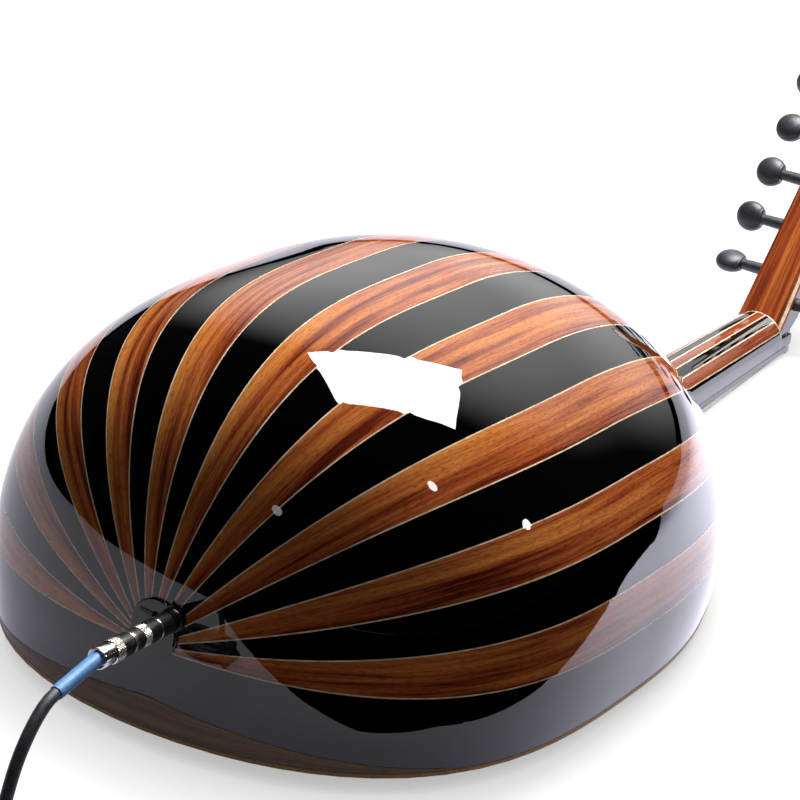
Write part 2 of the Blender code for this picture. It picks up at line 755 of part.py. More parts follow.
def string_end(string):
    """Points of a string from the nut's slot to its peg."""
    _, _, y, radius = STRINGS[string]
    t, side = peg_place(peg_of_string(string))
    winding_y = 0.45 * y
    peg_radius = shaft_radius(abs(side * PEGBOX_HALF_WIDTH - winding_y))
    front = PEG_DEPTH + peg_radius + GAP + radius
    end = on_pegbox(t, front, winding_y)
    slot = (NUT_X + 2 * radius, y, string_height_at_nut(radius))
    return [end, slot]


def strings():
    """Each course is one solid. The two strings of a pair are joined by the knot at the bridge."""
    for course, radius in enumerate(STRING_RADII[::-1]):
        members = [i for i, place_of in enumerate(STRINGS) if place_of[0] == course]
        slant = (BRIDGE_FOOT - BRIDGE_TOP) / 2 / BRIDGE_HEIGHT
        front = BRIDGE_X + BRIDGE_FOOT / 2 - slant * STRING_HEIGHT_AT_BRIDGE + GAP + radius
        points = []
        for order, i in enumerate(members):
            run = string_end(i)
            run.append((NUT_X - NUT_LENGTH - 0.001, run[1][1], string_height_at_nut(radius)))
            knot = (front + PAIR_SPACING_AT_BRIDGE / 2, STRINGS[i][1], -STRING_HEIGHT_AT_BRIDGE)
            if len(members) == 1:
                knot = (front, STRINGS[i][1], -STRING_HEIGHT_AT_BRIDGE)
            run.append(knot)
            points += run if order == 0 else run[::-1]
            if order == 0 and len(members) > 1:
                bend = PAIR_SPACING_AT_BRIDGE / 2
                for angle in (45, 90, 135):
                    points.append((knot[0] - bend * math.sin(math.radians(angle)),
                                   knot[1] - bend * (1 - math.cos(math.radians(angle))), knot[2]))
        name = "string_bass" if len(members) == 1 else "string_pair_%d" % course
        solid(name, turned_faces(points, [radius] * len(points), 6), string_look)


# Neck

def neck_section(x, lean, share):
    """Loop of the neck across x: round at the back, straight sides, flat on the fingerboard. The share runs
    from 0 at the bowl to 1 at the pegbox, and lean tilts the loop as the bowl's end is tilted."""
    width = JOINT_HALF_WIDTH + (NECK_END_HALF_WIDTH - JOINT_HALF_WIDTH) * share
    pole = NECK_POLE_HEIGHT + (NECK_END_POLE_HEIGHT - NECK_POLE_HEIGHT) * share
    back = JOINT_BACK_HEIGHT + (NECK_END_BACK_HEIGHT - JOINT_BACK_HEIGHT) * share
    floor = FINGERBOARD_THICKNESS + GAP
    corner = math.acos((floor - pole) / NECK_LOWER_HEIGHT)
    angles = [-corner, -(corner + math.pi / 2) / 2]
    angles += [math.pi / 2 * i / 6 for i in range(-6, 7)]
    angles += [(corner + math.pi / 2) / 2, corner]
    loop = []
    for angle in angles:
        reach = back if math.cos(angle) > 0 else NECK_LOWER_HEIGHT
        z = pole + reach * math.cos(angle)
        loop.append((x + lean * (z - NECK_POLE_HEIGHT), -width * math.sin(angle), z))
    return loop


def neck():
    """The neck, with the low seat at its end that carries the nut and the pegbox."""
    lean = SPINE_UP[0] / SPINE_UP[1]
    start = BOWL_LENGTH + GAP
    end = NUT_X - NECK_STEP
    loops = []
    for share in (0.0, 0.33, 0.67, 1.0):
        loops.append(neck_section(start + (end - start) * share, lean * (1 - share), share))
    seat = [(x, y, min(z, SEAT_HEIGHT)) for x, y, z in loops[-1]]
    loops += [seat, [(NUT_X, y, z) for _, y, z in seat]]
    return solid("neck", loft_faces(loops), black_lacquer, smooth=30)


def fingerboard():
    lean = SPINE_UP[0] / SPINE_UP[1]
    loops = []
    for x, tilt, share in ((BOWL_LENGTH + GAP, lean, 0.0), (NUT_X - NUT_LENGTH - GAP, 0.0, 1.0)):
        width = abs(neck_section(x, tilt, share)[0][1])
        top = FINGERBOARD_THICKNESS
        loops.append([(x + tilt * (z - NECK_POLE_HEIGHT), y, z)
                      for y, z in ((-width, 0), (width, 0), (width, top), (-width, top))])
    return solid("fingerboard", loft_faces(loops), black_matt)


# Blocks

def neck_block():
    """The block that fills the bowl's end and takes the neck's tenon."""
    depth = RIB_THICKNESS + BLOCK_ROOM
    loops = []
    steps = 12
    for i in range(5):
        s = 1 - NECK_BLOCK_LENGTH / BOWL_LENGTH * (1 - i / 4) - 0.004 * (i / 4)
        edge = angle_at_height(s, BOARD_TOP + BLOCK_ROOM)
        loop = [inside(s, -edge + 2 * edge * k / steps, depth) for k in range(steps + 1)]
        loops.append([tuple(p) for p in loop])
    return solid("neck_block", loft_faces(loops), plain_wood)


def tail_block():
    """The block inside the tail, which backs the ribs' ends and carries the jack socket."""
    depth = RIB_THICKNESS + BLOCK_ROOM
    heights = [BOARD_TOP + 0.001 + (TAIL_BLOCK_TOP - BOARD_TOP - 0.001) * i / 6 for i in range(7)]
    sides = [TAIL_BLOCK_HALF_WIDTH * (i / 3 - 1) for i in range(7)]
    outer = [[tuple(tail_inside(y, z, depth)) for y in sides] for z in heights]
    inner = [[(TAIL_BLOCK_DEPTH, y, z) for _, y, z in row] for row in outer]
    return solid("tail_block", shell_faces(outer, inner), plain_wood)


# Pegbox

def pegbox_half_width(t):
    share = min(max(t, 0.0) / PEGBOX_LENGTH, 1.0)
    return PEGBOX_HALF_WIDTH + (PEGBOX_END_HALF_WIDTH - PEGBOX_HALF_WIDTH) * share


def pegbox_start(d):
    """Where the pegbox meets the end face of the neck's round back, at this depth."""
    return GAP / math.cos(PEGBOX_ANGLE) - d * math.tan(PEGBOX_ANGLE)


def pegbox_back():
    loops = []
    for d in (0.0, PLATE_THICKNESS):
        start = pegbox_start(d)
        loops.append([on_pegbox(start, d, -PEGBOX_HALF_WIDTH), on_pegbox(start, d, PEGBOX_HALF_WIDTH),
                      on_pegbox(PEGBOX_LENGTH, d, PEGBOX_END_HALF_WIDTH),
                      on_pegbox(PEGBOX_LENGTH, d, -PEGBOX_END_HALF_WIDTH)])
    return solid("pegbox_back", loft_faces(loops), mahogany)


def cheek_outline():
    """Outline of a cheek as (t, d) points: along the back plate, down to the seat, and along the front."""
    top = PLATE_THICKNESS + GAP
    seat_drop = (PEGBOX_START_HEIGHT - SEAT_HEIGHT - GAP) / math.cos(PEGBOX_ANGLE)
    low = (seat_drop + GAP / math.cos(PEGBOX_ANGLE)) / 2
    return [(PEGBOX_LENGTH, top), (pegbox_start(top), top), (low - seat_drop, low),
            (CHEEK_FRONT_T, CHEEK_FRONT_D), (CHEEK_FULL_T, PEGBOX_DEPTH), (PEGBOX_LENGTH, PEGBOX_DEPTH)]


def cheek(name, side):
    loops = []
    for wall in (0.0, CHEEK_THICKNESS):
        loops.append([on_pegbox(t, d, side * (pegbox_half_width(t) - wall)) for t, d in cheek_outline()])
    body = solid(name, loft_faces(loops), black_lacquer)
    bores = []
    for number in range(1, PEG_COUNT + 1):
        t, head = peg_place(number)
        outside = pegbox_half_width(t)
        distance = 0.0 if head == side else 2 * outside - CHEEK_THICKNESS
        radius = (shaft_radius(distance) + PEG_CLEARANCE) / math.cos(math.pi / PEG_SIDES)
        places = (outside + CHEEK_THICKNESS, outside - 2 * CHEEK_THICKNESS)
        ends = [on_pegbox(t, PEG_DEPTH, side * y) for y in places]
        bores += loft_faces([ring_loop(p, (0, 1, 0), (0, 0, 1), (radius, radius), PEG_SIDES) for p in ends])
    cutter = solid(name + "_bores", bores, black_matt)
    hide(cutter)
    cut(body, cutter)
    return body


def pegbox_end():
    """The block that closes the pegbox, rounded at its front and back."""
    loops = []
    half = PEGBOX_END_HALF_WIDTH
    for share, inset in ((0.0, 0.0), (0.5, 0.0008), (0.85, 0.0030), (1.0, 0.0060)):
        t = PEGBOX_LENGTH + GAP + END_BLOCK_LENGTH * share
        loops.append([on_pegbox(t, d, y) for d, y in (
            (inset, -half + inset), (inset, half - inset),
            (PEGBOX_DEPTH - inset, half - inset), (PEGBOX_DEPTH - inset, -half + inset))])
    return solid("pegbox_end", loft_faces(loops), black_lacquer)


def peg(number):
    """A tapered shaft through both cheeks, a slimmer neck, and a flattened round head with a flat base."""
    t, side = peg_place(number)
    half = pegbox_half_width(t)
    base = PEG_HEAD_CENTRE - PEG_HEAD_RADIUS
    stations = [
        (-half - PEG_TIP_OUT, PEG_TIP_RADIUS, PEG_TIP_RADIUS),
        (half + 0.002, PEG_SHAFT_RADIUS, PEG_SHAFT_RADIUS),
        (base, PEG_NECK_RADIUS, PEG_NECK_RADIUS),
    ]
    for angle in (143, 115, 85, 58, 34, 14):
        a = math.radians(angle)
        stations.append((PEG_HEAD_CENTRE + PEG_HEAD_RADIUS * math.cos(a), PEG_HEAD_RADIUS * math.sin(a),
                         PEG_HEAD_HALF_THICKNESS * math.sin(a) ** 0.7))
    start = on_pegbox(t, PEG_DEPTH)
    path = [(start[0], side * y, start[2]) for y, _, _ in stations]
    turn = math.radians(PEG_TURNS[number - 1])
    across = (math.cos(turn), 0, math.sin(turn))
    loops = [ring_loop(p, (0, side, 0), across, (wide, thin), PEG_SIDES)
             for p, (_, wide, thin) in zip(path, stations)]
    return solid("peg_%02d" % number, loft_faces(loops), black_matt, smooth=50)


# Jack socket and plugs

def jack_seat():
    """Farthest point back, along the socket, of the tail's surface under its flange."""
    angles = [2 * math.pi * i / JACK_SIDES for i in range(JACK_SIDES)]
    rim = [tail_surface(JACK_Y + JACK_FLANGE_RADIUS * math.cos(a), JACK_Z + JACK_FLANGE_RADIUS * math.sin(a))
           for a in angles]
    return min((point - on_jack(0)).dot(JACK_INWARD) for point in rim) - GAP


def jack_socket():
    """A round socket through the tail: flange outside, barrel in the block, and a bore for the plug."""
    seat = jack_seat()
    profile = [(JACK_FLANGE_FRONT, JACK_BORE_RADIUS), (JACK_FLANGE_FRONT, JACK_FLANGE_RADIUS),
               (seat, JACK_FLANGE_RADIUS), (seat, JACK_BARREL_RADIUS),
               (JACK_BARREL_END, JACK_BARREL_RADIUS), (JACK_BARREL_END, JACK_BORE_RADIUS)]
    loops = [ring_loop(on_jack(depth), JACK_INWARD, (0, 0, 1), (r, r), JACK_SIDES) for depth, r in profile]
    faces = loft_faces(loops)[2:]
    for i in range(JACK_SIDES):
        j = (i + 1) % JACK_SIDES
        faces.append([loops[-1][i], loops[-1][j], loops[0][j], loops[0][i]])
    return solid("jack_socket", faces, black_matt, smooth=30)


def plug_profile():
    """(distance from the tip of the shaft, radius) of a plug, up to the start of its sleeve."""
    shaft = PLUG_SHAFT_LENGTH
    body = shaft + PLUG_BODY_LENGTH
    bell = body + PLUG_BELL_LENGTH
    r = PLUG_SHAFT_RADIUS
    return [(0.0, 0.4 * r), (0.0025, r), (0.0055, r), (0.0075, 0.75 * r), (0.0095, r), (shaft, r),
            (shaft, PLUG_BODY_RADIUS), (body, PLUG_BODY_RADIUS), (bell, PLUG_BELL_RADIUS), (bell, SLEEVE_RADIUS)]


def near_plug():
    """The plug in the socket, and its sleeve, which the lead's weight pulls down."""
    tip = JACK_FLANGE_FRONT - GAP + PLUG_SHAFT_LENGTH
    loops = [ring_loop(on_jack(tip - along), -JACK_INWARD, (0, 0, 1), (r, r), JACK_SIDES)
             for along, r in plug_profile()]
    start = on_jack(tip - plug_profile()[-1][0])
    slope = SLEEVE_FALL - JACK_TILT
    outward = Vector((-math.cos(slope), 0, -math.sin(slope)))
    for share in (0.3, 1.0):
        loops.append(ring_loop(start + outward * (SLEEVE_LENGTH * share), outward, (0, 0, 1),
                               (SLEEVE_RADIUS, SLEEVE_RADIUS), JACK_SIDES))
    return solid("cable_plug", loft_faces(loops), chrome, smooth=30)


def far_plug():
    """The same plug at the lead's other end, lying on the floor beside the coil."""
    turn_radius = COIL_OUTER_RADIUS - CABLE_RADIUS
    x = COIL_CENTRE[0] - turn_radius
    clear = turn_radius - SLEEVE_RADIUS - GAP
    start = COIL_CENTRE[1] + math.sqrt(COIL_OUTER_RADIUS ** 2 - clear ** 2) + GAP
    sleeve = [(start, SLEEVE_RADIUS)]
    bell = plug_profile()[-1][0]
    profile = sleeve + [(start + SLEEVE_LENGTH + bell - along, r) for along, r in reversed(plug_profile())]
    height = PLUG_BODY_RADIUS
    loops = [ring_loop((x, y, height), (0, 1, 0), (0, 0, 1), (r, r), JACK_SIDES) for y, r in profile]
    return solid("far_plug", loft_faces(loops), chrome, parent=None, smooth=30)


def coil():
    """Outer shape of the coiled length: a ring of stacked turns on the floor."""
    e = COIL_EDGE
    low = COIL_INNER_RADIUS
    high = COIL_OUTER_RADIUS
    top = COIL_HEIGHT
    section = [(low + e, 0), (high - e, 0), (high, e), (high, top - e),
               (high - e, top), (low + e, top), (low, top - e), (low, e)]
    loops = []
    for i in range(COIL_SIDES):
        angle = 2 * math.pi * i / COIL_SIDES
        loops.append([(COIL_CENTRE[0] + r * math.cos(angle), COIL_CENTRE[1] + r * math.sin(angle), z)
                      for r, z in section])
    faces = []
    for i in range(COIL_SIDES):
        before = loops[i]
        after = loops[(i + 1) % COIL_SIDES]
        for k in range(len(section)):
            m = (k + 1) % len(section)
            faces.append([before[k], before[m], after[m], after[k]])
    return solid("cable_coil", faces, cable_rubber, parent=None, smooth=30)


def smooth_route(points, step):
    """Points at even steps along the smooth curve through a cord's own points."""
    pts = np.array(points)
    ends = np.vstack([2 * pts[0] - pts[1], pts, 2 * pts[-1] - pts[-2]])
    fine = []
    for i in range(1, len(ends) - 2):
        p0, p1, p2, p3 = ends[i - 1:i + 3]
        for u in np.linspace(0, 1, 40, endpoint=False):
            fine.append(0.5 * (2 * p1 + (p2 - p0) * u + (2 * p0 - 5 * p1 + 4 * p2 - p3) * u ** 2
                               + (3 * p1 - p0 - 3 * p2 + p3) * u ** 3))
    fine = np.array(fine + [pts[-1]])
    lengths = np.concatenate([[0], np.cumsum(np.linalg.norm(np.diff(fine, axis=0), axis=1))])
    count = max(int(round(lengths[-1] / step)), 2)
    places = np.linspace(0, lengths[-1], count + 1)
    return [tuple(float(np.interp(p, lengths, fine[:, axis])) for axis in range(3)) for p in places]


def cable(route):
    """The free stretch of the lead, from the sleeve down to the floor and along it to the coil."""
    curve = bpy.data.curves.new("cable", "CURVE")
    curve.dimensions = "3D"
    curve.bevel_depth = CABLE_RADIUS
    curve.bevel_resolution = 2
    curve.use_fill_caps = True
    points = smooth_route(route, CABLE_POINT_STEP)
    # A second ring close to the first keeps the end face square to the sleeve
    first = Vector(route[1]) - Vector(route[0])
    points.insert(1, tuple(Vector(route[0]) + first.normalized() * CABLE_RADIUS / 2))
    spline = curve.splines.new("POLY")
    spline.points.add(len(points) - 1)
    for spot, point in zip(spline.points, points):
        spot.co = (*point, 1.0)
    return place("cable", curve, cable_rubber, parent=None)


for rib_number in range(1, RIB_COUNT + 1):
    rib(rib_number)
clasp()
tail_cap()
soundboard()
rosettes()
pickguard()
bridge()
neck()
fingerboard()
nut()
neck_block()
tail_block()
pegbox_back()
cheek("pegbox_cheek_left", 1)
cheek("pegbox_cheek_right", -1)
pegbox_end()
for peg_number in range(1, PEG_COUNT + 1):
    peg(peg_number)
strings()
jack_socket()
near_plug()

# The socket's bore and the room for its flange
bore_cutter = rod_cutter("jack_bore", on_jack(-CUTTER_ROOM), on_jack(TAIL_BLOCK_DEPTH + CUTTER_ROOM),
                         BORE_CUT_RADIUS, JACK_SIDES, black_matt)
room_cutter = rod_cutter("jack_room", on_jack(-CUTTER_ROOM), on_jack(CUTTER_ROOM),
                         (JACK_FLANGE_RADIUS + GAP) / math.cos(math.pi / JACK_SIDES), JACK_SIDES, black_matt)
cut(bpy.data.objects["tail_cap"], room_cutter)
cut(bpy.data.objects["tail_block"], bore_cutter)
for rib_number in range(2, RIB_COUNT):
    if seams_in_bore(rib_number) == 1:
        cut(bpy.data.objects["rib_%02d" % rib_number], bore_cutter)


def rest_on_floor():
    """Leans the oud so that the bridge and the nut stand on z = 0, and centres its box over the origin."""
    lean = math.atan((BRIDGE_HEIGHT - NUT_HEIGHT) / (NUT_X - BRIDGE_X))
    oud.rotation_euler = (0, lean, 0)
    places = []
    for child in oud.children:
        if child.hide_render or child.name == "cable_plug":
            continue
        for corner in child.data.vertices:
            places.append(corner.co.x * math.cos(lean) + corner.co.z * math.sin(lean))
    middle = (min(places) + max(places)) / 2
    oud.location = (-middle, 0, BRIDGE_HEIGHT * math.cos(lean) + BRIDGE_X * math.sin(lean))


rest_on_floor()
far_plug()
coil()
CABLE_ROUTE = (
    (-0.50101, -0.0125, 0.07401),
    (-0.5051, -0.0125, 0.0731),
    (-0.5089, -0.0125, 0.0713),
    (-0.5130, -0.0125, 0.0684),
    (-0.5178, -0.0125, 0.0640),
    (-0.5226, -0.0125, 0.0584),
    (-0.5267, -0.0125, 0.0526),
    (-0.5306, -0.0125, 0.0455),
    (-0.5342, -0.0125, 0.0369),
    (-0.5382, -0.0125, 0.0268),
    (-0.5437, -0.0125, 0.0168),
    (-0.5517, -0.0125, 0.0091),
    (-0.5624, -0.0125, 0.0048),
    (-0.5766, -0.0125, 0.00325),
)
cable(CABLE_ROUTE)
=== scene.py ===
# Turkish oud lying face down on its bridge and nut, with its lead plugged in: the finish of every piece,
# in metres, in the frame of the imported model.

import math

import bpy
import numpy as np
from mathutils import Matrix, Vector


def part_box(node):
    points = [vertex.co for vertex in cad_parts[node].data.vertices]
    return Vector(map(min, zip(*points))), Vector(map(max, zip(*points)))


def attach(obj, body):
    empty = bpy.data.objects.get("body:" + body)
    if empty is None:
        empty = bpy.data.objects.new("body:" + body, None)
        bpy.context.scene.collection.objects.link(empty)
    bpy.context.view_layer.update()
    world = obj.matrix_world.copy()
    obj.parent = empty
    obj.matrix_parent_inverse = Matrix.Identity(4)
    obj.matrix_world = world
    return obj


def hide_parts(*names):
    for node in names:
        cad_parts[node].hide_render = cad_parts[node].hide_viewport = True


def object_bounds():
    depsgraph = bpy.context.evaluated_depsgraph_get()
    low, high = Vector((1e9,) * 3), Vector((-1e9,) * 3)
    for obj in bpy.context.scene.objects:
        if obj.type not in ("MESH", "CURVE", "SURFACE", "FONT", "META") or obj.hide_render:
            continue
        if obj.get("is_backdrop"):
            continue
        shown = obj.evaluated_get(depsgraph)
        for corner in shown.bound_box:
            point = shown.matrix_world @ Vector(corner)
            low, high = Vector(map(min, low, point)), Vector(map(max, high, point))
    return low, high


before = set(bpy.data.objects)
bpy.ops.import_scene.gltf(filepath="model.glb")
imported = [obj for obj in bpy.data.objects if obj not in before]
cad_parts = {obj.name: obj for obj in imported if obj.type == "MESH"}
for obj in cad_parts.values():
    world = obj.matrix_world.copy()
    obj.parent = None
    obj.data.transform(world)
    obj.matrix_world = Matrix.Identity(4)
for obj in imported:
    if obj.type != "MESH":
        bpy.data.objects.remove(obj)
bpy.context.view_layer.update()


# Place of the oud
# In the instrument's own frame x runs from the tail to the neck, z is the height behind the soundboard and
# the bass side is at y > 0. It leans a little, because the bridge stands higher than the nut.
BRIDGE_HEIGHT = 0.0095
NUT_HEIGHT = 0.0020
BRIDGE_X = 0.0957
NUT_X = 0.6857
FINGERBOARD_THICKNESS = 0.0037
LEAN = math.atan((BRIDGE_HEIGHT - NUT_HEIGHT) / (NUT_X - BRIDGE_X))
OUD_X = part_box("nut")[1].x - NUT_X * math.cos(LEAN) - FINGERBOARD_THICKNESS * math.sin(LEAN)
OUD_Z = BRIDGE_HEIGHT * math.cos(LEAN) + BRIDGE_X * math.sin(LEAN)
GAP = 0.0003


def to_world(points):
    """Points of the oud's frame, turned by its lean about y and moved to its place."""
    x, y, z = np.moveaxis(np.asarray(points, float), -1, 0)
    turned = (x * math.cos(LEAN) + z * math.sin(LEAN) + OUD_X, y + 0 * x, z * math.cos(LEAN) - x * math.sin(LEAN) + OUD_Z)
    return np.stack(turned, -1)


# Camera
# A long lens over the tail, on the treble side, rolled a little, as the photograph was taken.
CAMERA_PLACE = Vector((-1.63399, -0.82056, 0.83622))
CAMERA_AIM = Vector((-0.12204, 0.03815, 0.08))
CAMERA_ROLL = math.radians(5.284)
FOCAL_LENGTH_MM = 156.22
SENSOR_MM = 36

forward = (CAMERA_AIM - CAMERA_PLACE).normalized()
level_right = forward.cross(Vector((0, 0, 1))).normalized()
level_up = level_right.cross(forward)
right = level_right * math.cos(CAMERA_ROLL) + level_up * math.sin(CAMERA_ROLL)
up = right.cross(forward)
lens = bpy.data.cameras.new("camera")
lens.lens = FOCAL_LENGTH_MM
lens.sensor_width = SENSOR_MM
lens.clip_start = 0.05
lens.clip_end = 100
camera = bpy.data.objects.new("camera", lens)
camera.matrix_world = Matrix.Translation(CAMERA_PLACE) @ Matrix((right, up, -forward)).transposed().to_4x4()
bpy.context.scene.collection.objects.link(camera)
bpy.context.scene.camera = camera
bpy.context.scene.view_settings.view_transform = "Standard"


# Bowl: surface
# A pear cut in half lengthwise, built of 21 bent ribs. s runs from 0 at the tail to 1 at the neck joint.
BOWL_LENGTH = 0.485
BOWL_HALF_WIDTH = 0.1681
BOWL_HEIGHT = 0.1552
WIDEST_AT = 0.4266
DEEPEST_AT = 0.4104
WIDTH_TAIL_BEND = 3.18
WIDTH_TAIL_ROUND = 0.472
WIDTH_NECK_BEND = 2.22
HEIGHT_TAIL_BEND = 3.91
HEIGHT_TAIL_ROUND = 0.471
HEIGHT_NECK_BEND = 2.01
TAIL_POLE_HEIGHT = 0.0471
NECK_POLE_HEIGHT = 0.0148
JOINT_HALF_WIDTH = 0.0225
JOINT_BACK_HEIGHT = 0.0125
SPINE_SLOPE = math.atan2(NECK_POLE_HEIGHT - TAIL_POLE_HEIGHT, BOWL_LENGTH)
SPINE_UP = (-math.sin(SPINE_SLOPE), math.cos(SPINE_SLOPE))
BOARD_THICKNESS = 0.0022
BOARD_TOP = BOARD_THICKNESS + GAP


def bowl_curve(s, peak, peak_at, end, tail_bend, tail_round, neck_bend):
    """Rises from nothing at the tail as a rounded power curve, then falls as a plain power to its end value."""
    before = np.clip((peak_at - s) / peak_at, 0, 1)
    after = np.clip((s - peak_at) / (1 - peak_at), 0, 1)
    rise = peak * (1 - before ** tail_bend) ** tail_round
    fall = end + (peak - end) * (1 - after ** neck_bend)
    return np.where(s < peak_at, rise, fall)


def half_width(s):
    """Half the bowl's width."""
    return bowl_curve(s, BOWL_HALF_WIDTH, WIDEST_AT, JOINT_HALF_WIDTH,
                      WIDTH_TAIL_BEND, WIDTH_TAIL_ROUND, WIDTH_NECK_BEND)


def back_height(s):
    """Height of the back above the spine line."""
    return bowl_curve(s, BOWL_HEIGHT, DEEPEST_AT, JOINT_BACK_HEIGHT,
                      HEIGHT_TAIL_BEND, HEIGHT_TAIL_ROUND, HEIGHT_NECK_BEND)


def spine_height(s):
    """Height of the line that the sections are drawn round."""
    return TAIL_POLE_HEIGHT + (NECK_POLE_HEIGHT - TAIL_POLE_HEIGHT) * s


def lower_height(s):
    """Depth of the ellipse under the spine: the back's height, and more near the neck, whose sides are
    nearly straight. The two are blended by a mean of fourth powers."""
    fade = np.clip((s - 0.9) / 0.1, 0, 1)
    straight = 3 * spine_height(s) * fade * fade * (3 - 2 * fade)
    return (back_height(s) ** 4 + straight ** 4) ** 0.25


def bowl_point(s, angle):
    """Point of the outer surface: an ellipse round the spine. The angle is 0 on the back, and grows
    towards the treble side."""
    reach = np.where(np.cos(angle) > 0, back_height(s), lower_height(s))
    rise = reach * np.cos(angle)
    return np.stack([s * BOWL_LENGTH + rise * SPINE_UP[0],
                     -half_width(s) * np.sin(angle),
                     spine_height(s) + rise * SPINE_UP[1]], -1)


def bowl_normal(s, angle):
    """Outward unit normal: the cross product of a small step round the bowl and one along it."""
    step = np.minimum(1e-4, 0.2 * s)
    middle = np.minimum(s + step, 1.0) - step
    along = bowl_point(middle + step, angle) - bowl_point(middle - step, angle)
    round_it = bowl_point(s, angle + 1e-3) - bowl_point(s, angle - 1e-3)
    normal = np.cross(round_it, along)
    return normal / np.linalg.norm(normal, axis=-1, keepdims=True)


def angle_at_height(s, height):
    """Angle at which a section is at this height, or half a turn where it stays above."""
    ratio = (height - spine_height(s)) / (lower_height(s) * SPINE_UP[1])
    return np.arccos(np.clip(ratio, -1, 1))


def tail_surface(y, z):
    """Point of the tail's surface at this y and z, found by halving the range of s."""
    low = np.full(np.shape(y), 1e-7)
    high = np.full(np.shape(y), WIDEST_AT)
    for _ in range(50):
        s = (low + high) / 2
        rise = (z - spine_height(s)) / SPINE_UP[1]
        reach = np.where(rise > 0, back_height(s), lower_height(s))
        outside = (y / half_width(s)) ** 2 + (rise / reach) ** 2 > 1
        low = np.where(outside, s, low)
        high = np.where(outside, high, s)
    return np.stack([s * BOWL_LENGTH + rise * SPINE_UP[0], y, z], -1)


def tail_inside(y, z, depth):
    """Point at this depth under the tail's surface, along the normal from its slopes in y and z."""
    step = 1e-4
    slope_y = (tail_surface(y + step, z)[..., 0] - tail_surface(y - step, z)[..., 0]) / (2 * step)
    slope_z = (tail_surface(y, z + step)[..., 0] - tail_surface(y, z - step)[..., 0]) / (2 * step)
    normal = np.stack([np.ones_like(slope_y), -slope_y, -slope_z], -1)
    normal /= np.linalg.norm(normal, axis=-1, keepdims=True)
    return tail_surface(y, z) + normal * np.asarray(depth)[..., None]


# Bowl: making a mesh
# Every piece is a grid of points or several, joined into one closed mesh whose faces point out.

def grid_quads(rows, columns, start=0, wrap=False):
    """Corner numbers of the cells of a grid. With wrap the last column joins the first."""
    index = np.arange(rows * columns).reshape(rows, columns) + start
    if wrap:
        index = np.hstack([index, index[:, :1]])
    return np.stack([index[:-1, :-1], index[:-1, 1:], index[1:, 1:], index[1:, :-1]], -1).reshape(-1, 4)


def shell(outer, inner):
    """A thin body: an outer grid, an inner grid and a wall along their rims."""
    rows, columns = outer.shape[:2]
    count = rows * columns
    index = np.arange(count).reshape(rows, columns)
    rim = np.concatenate([index[0], index[1:, -1], index[-1, -2::-1], index[-2:0:-1, 0]])
    ring = np.append(rim, rim[0])
    wall = np.stack([ring[:-1], ring[:-1] + count, ring[1:] + count, ring[1:]], 1)
    quads = np.vstack([grid_quads(rows, columns), grid_quads(rows, columns, count)[:, ::-1], wall])
    return np.vstack([outer.reshape(-1, 3), inner.reshape(-1, 3)]), quads.tolist()


def closed(rings):
    """A body through rings of points, with a fan over its first and last ring."""
    count, sides = rings.shape[:2]
    points = np.vstack([rings.reshape(-1, 3), rings[0].mean(0), rings[-1].mean(0)])
    here = np.arange(sides)
    after = np.roll(here, -1)
    last = (count - 1) * sides
    first_fan = np.stack([np.full(sides, count * sides), after, here], 1)
    last_fan = np.stack([np.full(sides, count * sides + 1), here + last, after + last], 1)
    return points, grid_quads(count, sides, wrap=True).tolist() + first_fan.tolist() + last_fan.tolist()


def joined(bodies):
    """Several bodies as one list of points and one of faces."""
    points = []
    faces = []
    start = 0
    for body_points, body_faces in bodies:
        points.append(body_points)
        faces += [[corner + start for corner in face] for face in body_faces]
        start += len(body_points)
    return np.vstack(points), faces


def piece(name, body, look, rides="oud_body", instead_of=(), uvs=None, crease=35, which=None):
    """A finished piece from points and faces in the world. Edges sharper than crease degrees stay sharp."""
    points, faces = body
    mesh = bpy.data.meshes.new(name)
    mesh.from_pydata(np.asarray(points).tolist(), [], faces)
    looks = look if isinstance(look, (list, tuple)) else [look]
    for finish in looks:
        mesh.materials.append(finish)
    if which is not None:
        mesh.polygons.foreach_set("material_index", np.asarray(which, np.int32))
    for layer, values in (uvs or {}).items():
        corners = np.zeros(len(mesh.loops), np.int32)
        mesh.loops.foreach_get("vertex_index", corners)
        made = mesh.uv_layers.new(name=layer)
        made.uv.foreach_set("vector", values[corners].astype(np.float32).ravel())
    mesh.calc_loop_triangles()
    triangles = np.zeros(len(mesh.loop_triangles) * 3, np.int32)
    mesh.loop_triangles.foreach_get("vertices", triangles)
    a, b, c = np.asarray(points)[triangles.reshape(-1, 3)].transpose(1, 0, 2)
    if np.einsum("ij,ij->i", a, np.cross(b, c)).sum() < 0:
        mesh.flip_normals()
    mesh.shade_smooth()
    mesh.set_sharp_from_angle(angle=math.radians(crease))
    made = bpy.data.objects.new(name, mesh)
    bpy.context.scene.collection.objects.link(made)
    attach(made, rides)
    if instead_of:
        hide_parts(*instead_of)
    return made


# Bowl: lacquered woods
# Brown ribs are rosewood and black ribs are ebonised, under a thick, polished polyester lacquer. It shows a
# sharp reflection with a slight waviness over deep, saturated grain.

def colour(code):
    """sRGB hex code to linear red, green, blue and full alpha."""
    channels = np.array([int(code[i:i + 2], 16) / 255 for i in (1, 3, 5)])
    linear = np.where(channels <= 0.04045, channels / 12.92, ((channels + 0.055) / 1.055) ** 2.4)
    return (*linear.tolist(), 1.0)


